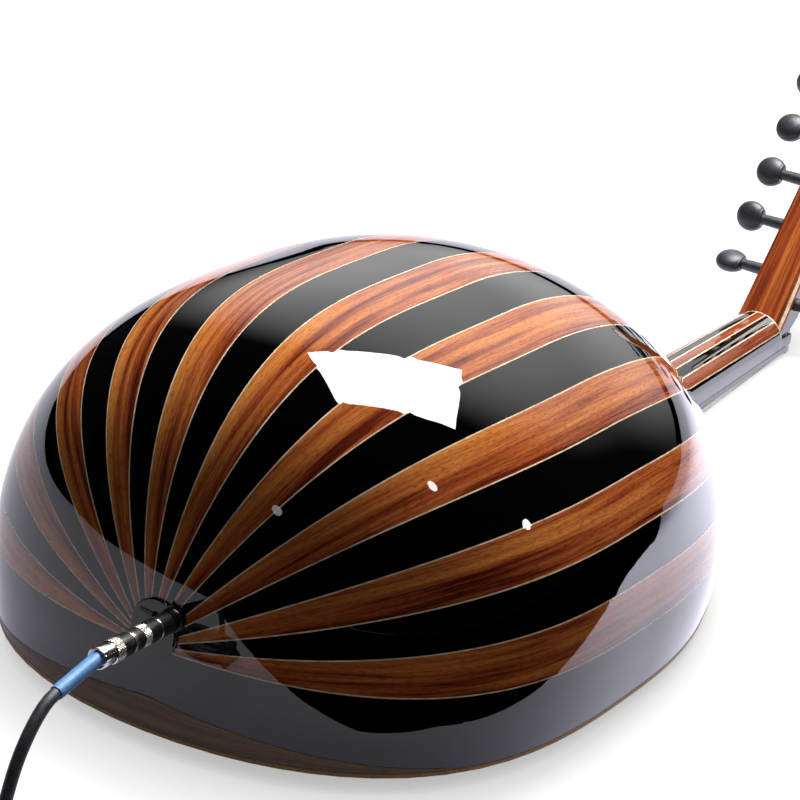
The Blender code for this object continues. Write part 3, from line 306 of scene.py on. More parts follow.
def add(tree, kind, inputs=None, stops=None, **settings):
    """Adds a node with its settings. Inputs are values or the sockets that feed them, stops a ramp's colours."""
    made = tree.nodes.new("ShaderNode" + kind)
    for setting, value in settings.items():
        setattr(made, setting, value)
    for socket, value in (inputs or {}).items():
        if isinstance(value, bpy.types.NodeSocket):
            tree.links.new(value, made.inputs[socket])
        else:
            made.inputs[socket].default_value = value
    if stops:
        elements = made.color_ramp.elements
        for number, (place, code) in enumerate(stops):
            element = elements[number] if number < 2 else elements.new(place)
            element.position = place
            element.color = colour(code)
    return made


def new_finish(name, **levels):
    """A material, its node tree and its shader, with the shader's own levels set."""
    made = bpy.data.materials.new(name)
    made.use_nodes = True
    shader = made.node_tree.nodes["Principled BSDF"]
    for level, value in levels.items():
        shader.inputs[level.replace("_", " ").title().replace("Ior", "IOR")].default_value = value
    return made, made.node_tree, shader


LACQUER = {"roughness": 0.35, "coat_weight": 1.0, "coat_roughness": 0.015, "coat_ior": 1.5, "specular_ior_level": 0.0}
LACQUER_WAVE_MM = 14
LACQUER_WAVE_HEIGHT = 0.00003


def wavy_lacquer(tree, shader):
    """Lets the lacquer's reflections waver, as on a surface flattened and polished by hand."""
    place = add(tree, "TexCoord")
    wave = add(tree, "TexNoise", {"Vector": place.outputs["Object"], "Scale": 1000 / LACQUER_WAVE_MM, "Detail": 1.0})
    bump = add(tree, "Bump", {"Height": wave.outputs[0], "Strength": 1.0, "Distance": LACQUER_WAVE_HEIGHT})
    tree.links.new(bump.outputs[0], shader.inputs["Coat Normal"])


STREAK_LENGTH_MM = 150
STREAK_WIDTH_MM = 5
FIBRE_LENGTH_MM = 40
FIBRE_WIDTH_MM = 1.1
PORE_LENGTH_MM = 4.5
PORE_WIDTH_MM = 0.55


def lacquered_grain(name, stops, pore_depth=0.55, streak_depth=0.85, painted_shade_across_rib=0.0):
    """Wood whose grain follows the piece's own map, in metres: x along the grain and y across it. Pores are
    drawn about three times as coarse as real ones, so that they show."""
    made, tree, shader = new_finish(name, **LACQUER)
    grain = add(tree, "UVMap", uv_map="grain").outputs[0]

    def stretched(along_mm, across_mm, detail, roughness=0.55):
        scaled = add(tree, "Mapping", {"Vector": grain, "Scale": (1000 / along_mm, 1000 / across_mm, 1)})
        return add(tree, "TexNoise", {"Vector": scaled.outputs[0], "Scale": 1.0, "Detail": detail,
                                      "Roughness": roughness, "Distortion": 0.25}).outputs[0]

    streaks = stretched(STREAK_LENGTH_MM, STREAK_WIDTH_MM, 3.0)
    fibres = stretched(FIBRE_LENGTH_MM, FIBRE_WIDTH_MM, 2.0)
    pores = stretched(PORE_LENGTH_MM, PORE_WIDTH_MM, 1.0)
    # Painted shade: the colour grows darker across each rib's width, from one edge to the other, by
    # painted_shade_across_rib.
    share = add(tree, "SeparateXYZ", {0: add(tree, "UVMap", uv_map="rib").outputs[0]}).outputs["Y"]
    streaks_and_painted_shade = add(tree, "Math", {0: share, 1: painted_shade_across_rib, 2: streaks}, operation="MULTIPLY_ADD")
    mixed = add(tree, "Math", {0: fibres, 1: 0.35, 2: streaks_and_painted_shade.outputs[0]}, operation="MULTIPLY_ADD")
    spread = add(tree, "MapRange", {"Value": mixed.outputs[0], "From Min": 0.48, "From Max": 0.94 + painted_shade_across_rib})
    wood = add(tree, "ValToRGB", {0: spread.outputs[0]}, stops=stops)
    dark = add(tree, "MapRange", {"Value": pores, "From Min": 0.50, "From Max": 0.72, "To Max": pore_depth})
    worn = add(tree, "Mix", {0: dark.outputs[0], 6: wood.outputs[0], 7: colour("#1c0a05")}, data_type="RGBA")
    tree.links.new(worn.outputs[2], shader.inputs["Base Color"])
    wavy_lacquer(tree, shader)
    return made


# The rosewood ribs carry painted shade: darker across their width towards one edge.
ROSEWOOD = lacquered_grain("lacquered rosewood", (
    (0.0, "#d88a3e"), (0.3, "#c27036"), (0.52, "#a04d26"), (0.72, "#662515"), (1.0, "#2c0d0a")), painted_shade_across_rib=0.16)

EBONISED, ebonised_tree, ebonised_shader = new_finish("lacquered ebonised wood", base_color=colour("#020203"), **LACQUER)
wavy_lacquer(ebonised_tree, ebonised_shader)


def maple_lines():
    """Maple purfling under the same lacquer: pale and nearly plain, a little uneven along its length."""
    made, tree, shader = new_finish("lacquered maple purfling", **LACQUER)
    place = add(tree, "TexCoord")
    uneven = add(tree, "TexNoise", {"Vector": place.outputs["Object"], "Scale": 180, "Detail": 2.0})
    tone = add(tree, "ValToRGB", {0: uneven.outputs[0]}, stops=((0.3, "#cdae8c"), (0.7, "#f2dfc2")))
    tree.links.new(tone.outputs[0], shader.inputs["Base Color"])
    wavy_lacquer(tree, shader)
    return made


MAPLE = maple_lines()


# Bowl: ribs
# Each rib is a strip 2.8 mm thick, bent over heat and glued edge to edge with a strip of maple between. The
# two side ribs, next to the soundboard, are wider. Under the tail cap all of them end round a small hole.
RIB_COUNT = 21
RIB_WIDTH = 0.0259
RIB_THICKNESS = 0.0028
SEAM_DRIFT = -0.077
TAIL_HOLE_RADIUS = 0.0045
LINE_WIDTH = 0.0007
LINE_DEPTH = 0.0015
LINE_PROUD = 0.00003
RIB_ROWS = 190
RIB_COLUMNS = 9
SIDE_RIB_COLUMNS = 15
CLASP_HEIGHT = 0.020
CLASP_REACH = 0.141
CLASP_TIP = 0.0006
CLASP_TAPER = 1.1
JACK_Y = -0.0125
JACK_Z = 0.0648
JACK_TILT = math.radians(2.7)
JACK_FLANGE_RADIUS = 0.0062

fine_s = np.concatenate([np.geomspace(1e-7, 0.05, 4000), np.linspace(0.05, 1, 4001)[1:]])
section_angles = np.linspace(0, math.pi / 2 + 0.3, 800)
section_steps = np.hypot(BOWL_HALF_WIDTH * np.cos(section_angles), BOWL_HEIGHT * np.sin(section_angles))
section_arc = np.cumsum(section_steps) * (section_angles[1] - section_angles[0])


def seam_angle(seam, s):
    """Angle of a seam. The ribs are equally wide on the widest section, and the seams drift a little."""
    offset = (seam - RIB_COUNT / 2) * RIB_WIDTH
    angle = np.interp(abs(offset), section_arc - section_steps[0] * (section_angles[1] - section_angles[0]), section_angles)
    return math.copysign(angle, offset) * (1 + SEAM_DRIFT * (s - 0.5))


def clasp_top(y):
    """Height of the end clasp's upper edge: highest in the middle, down to a tip on each side."""
    rise = CLASP_HEIGHT - BOARD_TOP - CLASP_TIP
    return BOARD_TOP + CLASP_TIP + rise * (1 - np.minimum(np.abs(y) / CLASP_REACH, 1.0) ** CLASP_TAPER)


def clasp_height(s):
    """Height of the clasp's upper edge on these sections, by repeating: the edge's y, then its height."""
    y = half_width(s)
    for _ in range(40):
        height = clasp_top(y)
        y = half_width(s) * np.sin(angle_at_height(s, height))
    return height


below_pole = lower_height(fine_s) * SPINE_UP[1] - spine_height(fine_s)
clasp_start = np.interp(-CLASP_HEIGHT - GAP, below_pole[:4000], fine_s[:4000])
clasp_end = np.interp(CLASP_REACH, half_width(fine_s[fine_s < WIDEST_AT]), fine_s[fine_s < WIDEST_AT])


def side_rib_edge(s):
    """Angle of a side rib's lower edge: the middle of the tail, then the clasp, then the soundboard."""
    on_clasp = angle_at_height(s, clasp_height(s) + GAP)
    on_board = angle_at_height(s, BOARD_TOP + 0 * s)
    return np.where(s < clasp_start, math.pi, np.where(s <= clasp_end, on_clasp, on_board))


def even_rows(angle, count, start):
    """Values of s from start to 1 that are evenly far apart along the bowl at this angle."""
    s = fine_s[fine_s > start]
    s = np.concatenate([[start], s])
    line = bowl_point(s, np.full(len(s), angle))
    lengths = np.concatenate([[0], np.cumsum(np.linalg.norm(np.diff(line, axis=0), axis=1))])
    return np.interp(np.linspace(0, lengths[-1], count), lengths, s)


hole_s = float(np.interp(TAIL_HOLE_RADIUS, half_width(fine_s[:4000]), fine_s[:4000]))
jack_from_pole = math.hypot(JACK_Y, JACK_Z - TAIL_POLE_HEIGHT)
past_socket_s = float(np.interp(jack_from_pole + 0.0056, half_width(fine_s[:4000]), fine_s[:4000]))
RIBS_ENDING_AT_SOCKET = (14, 15)
LINES_ENDING_AT_SOCKET = (13, 14, 15)


def bowl_strip(s, first, last, columns, depth):
    """Outer and inner grid of a strip between two angles per row, and its maps: metres along and across the
    grain, and the share of its width."""
    share = np.linspace(0, 1, columns)
    angle = first[:, None] + (last - first)[:, None] * share
    rows = np.repeat(s[:, None], columns, 1)
    outer = bowl_point(rows, angle)
    inner = outer - bowl_normal(rows, angle) * depth
    middle = outer[:, columns // 2]
    along = np.concatenate([[0], np.cumsum(np.linalg.norm(np.diff(middle, axis=0), axis=1))])
    width = np.linalg.norm(outer[:, -1] - outer[:, 0], axis=1)
    across = (share - 0.5) * width[:, None]
    grain = np.stack([np.repeat(along[:, None], columns, 1), across], -1).reshape(-1, 2)
    place = np.stack([np.repeat(s[:, None], columns, 1), np.repeat(share[None], len(s), 0)], -1).reshape(-1, 2)
    return outer, inner, grain, place


def rib_rows(number):
    """Rows of a rib. A side rib has extra rows where it meets the end clasp, whose edge turns quickly there."""
    start = past_socket_s if number in RIBS_ENDING_AT_SOCKET else hole_s
    rows = even_rows((number - 0.5 - RIB_COUNT / 2) / RIB_COUNT * math.pi * 0.9, RIB_ROWS, start)
    if number in (1, RIB_COUNT):
        reach = half_width(fine_s[fine_s < WIDEST_AT])
        near_clasp = np.interp(np.linspace(float(half_width(clasp_start)), CLASP_REACH, 60), reach,
                               fine_s[fine_s < WIDEST_AT])
        first_bend = clasp_start + (near_clasp[1] - clasp_start) * np.linspace(0, 1, 9)[:-1] ** 2
        rows = np.unique(np.concatenate([rows, near_clasp[1:], first_bend]))
    return rows


for number in range(1, RIB_COUNT + 1):
    s = rib_rows(number)
    per_metre = 1e-3 / np.linalg.norm(bowl_point(s, seam_angle(number, s) + 1e-3) - bowl_point(s, seam_angle(number, s)), axis=1)
    half_line = LINE_WIDTH / 2 * per_metre
    first = -side_rib_edge(s) if number == 1 else seam_angle(number - 1, s) + half_line
    last = side_rib_edge(s) if number == RIB_COUNT else seam_angle(number, s) - half_line
    columns = SIDE_RIB_COLUMNS if number in (1, RIB_COUNT) else RIB_COLUMNS
    outer, inner, grain, place = bowl_strip(s, first, last, columns, RIB_THICKNESS)
    grain = grain + np.array([0.37 * number, 0.61 * number])
    maps = {"grain": np.vstack([grain, grain]), "rib": np.vstack([place, place])}
    brown = number % 2 == 0
    piece("bowl_rib_%02d" % number, shell(to_world(outer), to_world(inner)), ROSEWOOD if brown else EBONISED,
          instead_of=("rib_%02d" % number,), uvs=maps)

lines = []
for seam in range(1, RIB_COUNT):
    s = even_rows((seam - RIB_COUNT / 2) / RIB_COUNT * math.pi * 0.9, RIB_ROWS,
                  past_socket_s if seam in LINES_ENDING_AT_SOCKET else hole_s)
    middle = seam_angle(seam, s)
    per_metre = 1e-3 / np.linalg.norm(bowl_point(s, middle + 1e-3) - bowl_point(s, middle), axis=1)
    half_line = LINE_WIDTH / 2 * per_metre
    outer, inner, _, _ = bowl_strip(s, middle - half_line, middle + half_line, 3, LINE_DEPTH)
    rows = np.repeat(s[:, None], 3, 1)
    raised = outer + bowl_normal(rows, middle[:, None] + half_line[:, None] * np.array([-1, 0, 1])) * LINE_PROUD
    lines.append(shell(to_world(raised), to_world(inner)))
piece("rib_purfling_lines", joined(lines), MAPLE)


# End clasp
# A strip of paler rosewood round the tail, under the side ribs, glued over the soundboard's edge. Its lacquer is
# thin, so it shines less than the ribs.
CLASP_COLUMNS = 161
CLASP_ROWS = 9
CLASP_WOOD = lacquered_grain("lacquered rosewood clasp", (
    (0.0, "#b69264"), (0.4, "#9f7a52"), (0.75, "#836142"), (1.0, "#5f4631")), pore_depth=0.4)
CLASP_WOOD.node_tree.nodes["Principled BSDF"].inputs["Coat Weight"].default_value = 0.4

y = np.linspace(-1, 1, CLASP_COLUMNS) * CLASP_REACH * 0.9995
up_share = np.linspace(0, 1, CLASP_ROWS)
height = BOARD_TOP + (clasp_top(y)[:, None] - BOARD_TOP) * up_share
reach = np.repeat(y[:, None], CLASP_ROWS, 1)
outer = tail_surface(reach, height)
inner = tail_inside(reach, height, np.full(height.shape, RIB_THICKNESS))
along = np.concatenate([[0], np.cumsum(np.linalg.norm(np.diff(outer[:, 0], axis=0), axis=1))])
grain = np.stack([np.repeat(along[:, None], CLASP_ROWS, 1), height], -1).reshape(-1, 2)
place = np.stack([np.repeat(along[:, None], CLASP_ROWS, 1), np.repeat(up_share[None], CLASP_COLUMNS, 0)], -1).reshape(-1, 2)
piece("end_clasp_strip", shell(to_world(outer), to_world(inner)), CLASP_WOOD, instead_of=("end_clasp",),
      uvs={"grain": np.vstack([grain, grain]), "rib": np.vstack([place, place])})


# Tail cap
# An arched black plate over the ends of the ribs, with a rounded edge, under the same lacquer as the ribs. It
# makes room for the socket's flange.
CAP_RADIUS = 0.0134
CAP_Y = -0.0025
CAP_TOP_CENTRE = 0.0582
CAP_LOW_CENTRE = 0.0550
CAP_THICKNESS = 0.0015
CAP_EDGE = 0.0005
CAP_STEPS = 48


def ebony(name, roughness, tone="#1a1a1c", fleck="#2c2a2b"):
    """Ebony: nearly black, with fine grey-brown flecks of grain, oiled to a satin or rubbed to a shine."""
    made, tree, shader = new_finish(name, specular_ior_level=0.5)
    place = add(tree, "TexCoord")
    stretched = add(tree, "Mapping", {"Vector": place.outputs["Object"], "Scale": (130, 900, 900)})
    fibre = add(tree, "TexNoise", {"Vector": stretched.outputs[0], "Scale": 1.0, "Detail": 3.0, "Roughness": 0.6})
    tint = add(tree, "ValToRGB", {0: fibre.outputs[0]}, stops=((0.35, tone), (0.75, fleck)))
    shine = add(tree, "MapRange", {"Value": fibre.outputs[0], "To Min": roughness - 0.06, "To Max": roughness + 0.1})
    rough = add(tree, "Bump", {"Height": fibre.outputs[0], "Strength": 0.5, "Distance": 0.00004})
    tree.links.new(tint.outputs[0], shader.inputs["Base Color"])
    tree.links.new(shine.outputs[0], shader.inputs["Roughness"])
    tree.links.new(rough.outputs[0], shader.inputs["Normal"])
    return made


SATIN_EBONY = ebony("satin ebony", 0.34)


def clear_of_socket(y, z):
    """Moves what lies inside the flange's circle out to the circle."""
    away_y = y - JACK_Y
    away_z = z - JACK_Z
    distance = np.hypot(away_y, away_z)
    grow = np.where(distance < JACK_FLANGE_RADIUS + GAP, (JACK_FLANGE_RADIUS + GAP) / distance, 1.0)
    return JACK_Y + away_y * grow, JACK_Z + away_z * grow


turn = np.linspace(0, math.pi, CAP_STEPS + 1)
outline_y = np.concatenate([CAP_RADIUS * np.cos(turn), -CAP_RADIUS * np.cos(turn)])
outline_z = np.concatenate([CAP_TOP_CENTRE + CAP_RADIUS * np.sin(turn), CAP_LOW_CENTRE - CAP_RADIUS * np.sin(turn)])
middle_z = (CAP_TOP_CENTRE + CAP_LOW_CENTRE) / 2
front_shares = np.concatenate([np.linspace(0.05, 1 - CAP_EDGE / CAP_RADIUS, 10),
                               1 - CAP_EDGE / CAP_RADIUS * (1 - np.sin(np.linspace(0.2, 1, 6) * math.pi / 2))])
edge_rise = np.sqrt(np.clip(1 - np.clip((front_shares - 1) * CAP_RADIUS / CAP_EDGE + 1, 0, 1) ** 2, 0, 1))
front_depth = -GAP - CAP_THICKNESS + CAP_EDGE * (1 - edge_rise)
back_shares = np.array([1.0, 0.5, 0.05])
shares = np.concatenate([front_shares, back_shares])
depths = np.concatenate([front_depth, np.full(3, -GAP)])
ring_y = CAP_Y + outline_y * shares[:, None]
ring_z = middle_z + (outline_z - middle_z) * shares[:, None]
ring_y, ring_z = clear_of_socket(ring_y, ring_z)
cap_rings = tail_inside(ring_y, ring_z, np.repeat(depths[:, None], len(outline_y), 1))
piece("tail_cap_plate", closed(to_world(cap_rings)), EBONISED, instead_of=("tail_cap",))


# Soundboard
# A spruce top 2.2 mm thick with seven glued bars, pale and close-grained, with a thin shellac. Its sawn edge
# shows round the bowl. The lines of its grain are drawn 1.6 mm apart.
GRAIN_SPACING_MM = 1.6
EDGE_INSET = 0.0016


def spruce():
    """Spruce: pale straw with darker winter lines along x and a silky sheen."""
    made, tree, shader = new_finish("spruce", roughness=0.45, specular_ior_level=0.4)
    place = add(tree, "TexCoord")
    straight = add(tree, "Mapping", {"Vector": place.outputs["Object"], "Scale": (2.5, 1, 1)})
    bend = add(tree, "TexNoise", {"Vector": straight.outputs[0], "Scale": 6.0, "Detail": 2.0})
    across = add(tree, "SeparateXYZ", {0: place.outputs["Object"]}).outputs["Y"]
    bent = add(tree, "Math", {0: bend.outputs[0], 1: 0.004, 2: across}, operation="MULTIPLY_ADD")
    phase = add(tree, "Math", {0: bent.outputs[0], 1: 2 * math.pi * 1000 / GRAIN_SPACING_MM}, operation="MULTIPLY")
    wave = add(tree, "Math", {0: phase.outputs[0]}, operation="SINE")
    lines = add(tree, "MapRange", {"Value": wave.outputs[0], "From Min": 0.2, "From Max": 1.0, "To Max": 0.6})
    soft = add(tree, "TexNoise", {"Vector": place.outputs["Object"], "Scale": 30.0, "Detail": 3.0})
    base = add(tree, "ValToRGB", {0: soft.outputs[0]}, stops=((0.3, "#c79a5e"), (0.7, "#dcb479")))
    tone = add(tree, "Mix", {0: lines.outputs[0], 6: base.outputs[0], 7: colour("#94622f")}, data_type="RGBA")
    rough = add(tree, "Bump", {"Height": wave.outputs[0], "Strength": 0.3, "Distance": 0.00003})
    tree.links.new(tone.outputs[2], shader.inputs["Base Color"])
    tree.links.new(rough.outputs[0], shader.inputs["Normal"])
    return made


def oiled_wood(name, light, dark, across_mm=1.4, along_mm=26, roughness=0.5):
    """Close-grained wood, sanded and oiled, with faint fibres along x."""
    made, tree, shader = new_finish(name, roughness=roughness, specular_ior_level=0.4)
    place = add(tree, "TexCoord")
    stretched = add(tree, "Mapping", {"Vector": place.outputs["Object"],
                                      "Scale": (1000 / along_mm, 1000 / across_mm, 1000 / across_mm)})
    fibre = add(tree, "TexNoise", {"Vector": stretched.outputs[0], "Scale": 1.0, "Detail": 3.0, "Roughness": 0.6})
    tone = add(tree, "ValToRGB", {0: fibre.outputs[0]}, stops=((0.3, dark), (0.7, light)))
    rough = add(tree, "Bump", {"Height": fibre.outputs[0], "Strength": 0.4, "Distance": 0.00005})
    tree.links.new(tone.outputs[0], shader.inputs["Base Color"])
    tree.links.new(rough.outputs[0], shader.inputs["Normal"])
    return made


SPRUCE = spruce()
SAWN_EDGE = oiled_wood("sawn spruce edge", "#d0a068", "#b58450", along_mm=12)
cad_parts["soundboard"].data.materials.clear()
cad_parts["soundboard"].data.materials.append(SPRUCE)

board_start = float(np.interp(-BOARD_TOP, below_pole[:4000], fine_s[:4000]))
reach = half_width(fine_s[fine_s < WIDEST_AT])
tail_rows = np.interp(np.linspace(float(half_width(board_start * 1.0001)), CLASP_REACH, 90), reach, fine_s[fine_s < WIDEST_AT])
near_start = board_start + (tail_rows[1] - board_start) * np.linspace(0, 1, 12)[:-1] ** 2
board_rows = np.concatenate([near_start, tail_rows[1:], np.linspace(tail_rows[-1], 1, 120)[1:]])
near_side = bowl_point(board_rows, angle_at_height(board_rows, BOARD_TOP + 0 * board_rows))[:, :2]
outline = np.vstack([near_side, near_side[:0:-1] * (1, -1)])
heading = np.roll(outline, -1, 0) - np.roll(outline, 1, 0)
heading /= np.linalg.norm(heading, axis=1, keepdims=True)
inward = np.stack([-heading[:, 1], heading[:, 0]], 1)
inward *= np.sign(((outline.mean(0) - outline) * inward).sum(1))[:, None]
edge_profile = ((EDGE_INSET, -0.00003), (0.0003, -0.00003), (0.0, 0.0003), (0.0, BOARD_THICKNESS), (EDGE_INSET, BOARD_THICKNESS))
edge_rings = np.stack([np.column_stack([outline + inward * inset, np.full(len(outline), z)])
                       for inset, z in edge_profile], 1)
corner = np.arange(len(outline) * len(edge_profile)).reshape(len(outline), len(edge_profile))
corner = np.vstack([np.hstack([corner, corner[:, :1]]), np.append(corner[0], corner[0, 0])])
edge_faces = np.stack([corner[:-1, :-1], corner[:-1, 1:], corner[1:, 1:], corner[1:, :-1]], -1).reshape(-1, 4)
piece("soundboard_edge", (to_world(edge_rings.reshape(-1, 3)), edge_faces.tolist()), SAWN_EDGE)


# Rosettes
# Three fretted discs sawn from thin lime wood, in the traditional interlaced pattern of rings and petals.
LARGE_ROSETTE_X = 0.300
LARGE_ROSETTE_RADIUS = 0.038
SMALL_ROSETTE_X = 0.210
SMALL_ROSETTE_Y = 0.072
SMALL_ROSETTE_RADIUS = 0.018
ROSETTE_THICKNESS = 0.0016


LIME = oiled_wood("sawn lime wood", "#d8b98a", "#b08a58")


def band(centre, middle, width, low, high):
    """A closed band of rectangular section whose middle radius is given all round."""
    count = len(middle)
    angle = np.linspace(0, 2 * math.pi, count, endpoint=False)
    corners = []
    for side, z in ((-1, low), (1, low), (1, high), (-1, high)):
        radius = middle + side * width / 2
        corners.append(np.stack([centre[0] + radius * np.cos(angle), centre[1] + radius * np.sin(angle),
                                 np.full(count, z)], -1))
    rings = np.stack(corners, 1)
    index = np.arange(count * 4).reshape(count, 4)
    index = np.vstack([np.hstack([index, index[:, :1]]), np.append(index[0], index[0, 0])])
    faces = np.stack([index[:-1, :-1], index[:-1, 1:], index[1:, 1:], index[1:, :-1]], -1).reshape(-1, 4)
    return rings.reshape(-1, 3), faces.tolist()


def rosette(name, node, x, y, radius, petals):
    """Rings joined by four waving bands, two and two in opposite phase, so that they cross as an interlace."""
    angle = np.linspace(0, 2 * math.pi, petals * 24, endpoint=False)
    plain = np.ones(len(angle))
    low = 0.0001
    high = ROSETTE_THICKNESS
    bands = [band((x, y), plain * radius * 0.945, radius * 0.095, 0.0, high),
             band((x, y), plain * radius * 0.575, radius * 0.05, 0.0, high),
             band((x, y), plain * radius * 0.17, radius * 0.09, 0.0, high)]
    for number, (middle, swing, count) in enumerate(((0.74, 0.175, petals), (0.74, 0.175, petals),
                                                      (0.38, 0.185, petals / 2), (0.38, 0.185, petals / 2))):
        phase = math.pi * (number % 2)
        lift = 0.00012 * (number % 2)
        path = radius * (middle + swing * np.cos(count * angle + phase))
        bands.append(band((x, y), path, radius * 0.045, low + lift, high - 0.0002 - lift))
    points, faces = joined(bands)
    piece(name, (to_world(points), faces), LIME, instead_of=(node,))


rosette("rosette_fret_large", "rosette_large", LARGE_ROSETTE_X, 0.0, LARGE_ROSETTE_RADIUS - GAP, 12)
rosette("rosette_fret_left", "rosette_small_left", SMALL_ROSETTE_X, SMALL_ROSETTE_Y, SMALL_ROSETTE_RADIUS - GAP, 8)
rosette("rosette_fret_right", "rosette_small_right", SMALL_ROSETTE_X, -SMALL_ROSETTE_Y, SMALL_ROSETTE_RADIUS - GAP, 8)


# Pickguard
# A thin leaf of ebony glued to the soundboard between the bridge and the large rosette, where the
# plectrum strikes. Its edge is rounded over.
PICKGUARD_START = 0.122
PICKGUARD_END = 0.256
PICKGUARD_HALF_WIDTH = 0.030
PICKGUARD_THICKNESS = 0.0008

u = np.concatenate([np.linspace(0, 0.02, 8)[:-1], np.linspace(0.02, 0.98, 90), np.linspace(0.98, 1, 8)[1:]])
leaf_width = PICKGUARD_HALF_WIDTH * np.sin(math.pi * u ** 0.8) ** 0.9
leaf_width[[0, -1]] = 0.0
leaf_x = PICKGUARD_START + (PICKGUARD_END - PICKGUARD_START) * u
leaf = np.vstack([np.column_stack([leaf_x, leaf_width]), np.column_stack([leaf_x, -leaf_width])[-2:0:-1]])
leaf_middle = np.array([(PICKGUARD_START + PICKGUARD_END) / 2, 0])
leaf_rings = np.stack([np.column_stack([leaf_middle + (leaf - leaf_middle) * share, np.full(len(leaf), z)])
                       for share, z in ((0.02, -GAP), (1.0, -GAP), (1.0, -GAP - 0.0004),
                                        (0.99, -GAP - PICKGUARD_THICKNESS), (0.02, -GAP - PICKGUARD_THICKNESS))])
piece("pickguard_leaf", closed(to_world(leaf_rings)), SATIN_EBONY, instead_of=("pickguard",))


# Bridge
# A bar of ebony glued to the soundboard, flat over the strings' width and lower towards its rounded ends.
# The strings are tied through it.
BRIDGE_LENGTH = 0.105
BRIDGE_FOOT = 0.014
BRIDGE_TOP = 0.008
BRIDGE_END_HEIGHT = 0.003
BRIDGE_FLAT_HALF = 0.040
BRIDGE_EDGE = 0.0010

RUBBED_EBONY = ebony("rubbed ebony", 0.24, "#141416", "#262326")


def rest_height(x):
    """Height, in the oud's frame, of the floor that the bridge and the nut stand on."""
    return -BRIDGE_HEIGHT + (x - BRIDGE_X) * (BRIDGE_HEIGHT - NUT_HEIGHT) / (NUT_X - BRIDGE_X)


half = BRIDGE_LENGTH / 2
station = half * np.sin(np.linspace(-1, 1, 61) * math.pi / 2) * 0.9999
end = np.clip((np.abs(station) - BRIDGE_FLAT_HALF) / (half - BRIDGE_FLAT_HALF), 0, 1)
rounding = np.sqrt(np.clip(1 - end ** 6, 0.02, 1))
foot = BRIDGE_FOOT / 2 * (1 - 0.35 * end) * rounding
top = BRIDGE_TOP / 2 * (1 - 0.35 * end) * rounding
bridge_rings = []
for across, fall in ((-1, 0.0), (1, 0.0), (1, 0.85), (0.86, 0.97), (0.6, 1.0), (-0.6, 1.0), (-0.86, 0.97), (-1, 0.85)):
    side = np.where(fall > 0, foot + (top - foot) * fall, foot)
    x = BRIDGE_X + across * side
    crest = rest_height(x) * (1 - end) - BRIDGE_END_HEIGHT * end
    bridge_rings.append(np.stack([x, station, -GAP + (crest + GAP) * fall], -1))
piece("bridge_bar", closed(to_world(np.stack(bridge_rings, 1))), RUBBED_EBONY, instead_of=("bridge",),
      crease=50)


# Neck
# Limewood under a veneer of seven stripes, ebonised and rosewood by turns with maple lines between them, and
# lacquered. Its end carries the nut and the pegbox on a low seat.
NECK_LENGTH = 0.2007
NECK_STEP = 0.0145
NECK_END_HALF_WIDTH = 0.0176
NECK_END_POLE_HEIGHT = 0.009
NECK_END_BACK_HEIGHT = 0.0156
NECK_LOWER_HEIGHT = 0.040
SEAT_HEIGHT = 0.0107
STRIPE_EDGES = (-51, -25, -5, 15, 38.5, 65)
NECK_LINE_DEGREES = 3.0
JOINT_LINE_SHARE = 0.006
NECK_ROWS = 70

NECK_ROSEWOOD = lacquered_grain("lacquered rosewood veneer", (
    (0.0, "#a8582c"), (0.4, "#8f4222"), (0.75, "#66291a"), (1.0, "#3c1610")), pore_depth=0.4)


def neck_section(share, angles):
    """One ring of the neck: a half ellipse over the pole line and nearly straight sides under it. The rings
    lean as the bowl's end leans, and come upright towards the pegbox."""
    width = JOINT_HALF_WIDTH + (NECK_END_HALF_WIDTH - JOINT_HALF_WIDTH) * share
    pole = NECK_POLE_HEIGHT + (NECK_END_POLE_HEIGHT - NECK_POLE_HEIGHT) * share
    back = JOINT_BACK_HEIGHT + (NECK_END_BACK_HEIGHT - JOINT_BACK_HEIGHT) * share
    z = pole + np.where(np.cos(angles) > 0, back, NECK_LOWER_HEIGHT) * np.cos(angles)
    start = BOWL_LENGTH + GAP
    lean = SPINE_UP[0] / SPINE_UP[1] * (1 - share)
    x = start + (NUT_X - NECK_STEP - start) * share + lean * (z - NECK_POLE_HEIGHT)
    return np.stack([x, -width * np.sin(angles), z], -1)


def side_corner(share):
    """Angle at which the neck's side meets the fingerboard."""
    pole = NECK_POLE_HEIGHT + (NECK_END_POLE_HEIGHT - NECK_POLE_HEIGHT) * share
    return np.arccos((FINGERBOARD_THICKNESS + GAP - pole) / NECK_LOWER_HEIGHT)


edges = []
stripes = []
before = None
for number, edge in enumerate(STRIPE_EDGES):
    low = edge - NECK_LINE_DEGREES / 2
    if before is not None:
        inner_columns = np.linspace(before, low, 7)[1:]
        edges += inner_columns.tolist()
        stripes += [1 + number % 2] * 6
    else:
        edges.append(low)
    edges.append(edge + NECK_LINE_DEGREES / 2)
    stripes.append(0)
    before = edge + NECK_LINE_DEGREES / 2
inner_angles = np.radians(edges)
share = np.concatenate([[0.0, JOINT_LINE_SHARE], np.linspace(0.03, 0.97, NECK_ROWS), [1 - JOINT_LINE_SHARE, 1.0]])
corner = side_corner(share)[:, None]
side_share = np.linspace(0, 1, 9)
left = -corner + (inner_angles[0] + corner) * side_share
rightmost = inner_angles[-1] + (corner - inner_angles[-1]) * side_share
angles = np.hstack([left[:, :-1], np.repeat(inner_angles[None], len(share), 0), rightmost[:, 1:]])
stripes = [1] * 8 + stripes + [1] * 8
neck_rings = neck_section(share[:, None], angles)
seat = neck_rings[-1].copy()
seat[:, 2] = np.minimum(seat[:, 2], SEAT_HEIGHT)
seat_end = seat.copy()
seat_end[:, 0] = NUT_X
rings = np.concatenate([neck_rings, seat[None], seat_end[None]])
columns = rings.shape[1]
girth = np.concatenate([[0], np.cumsum(np.linalg.norm(np.diff(neck_rings[NECK_ROWS // 2], axis=0), axis=1))])
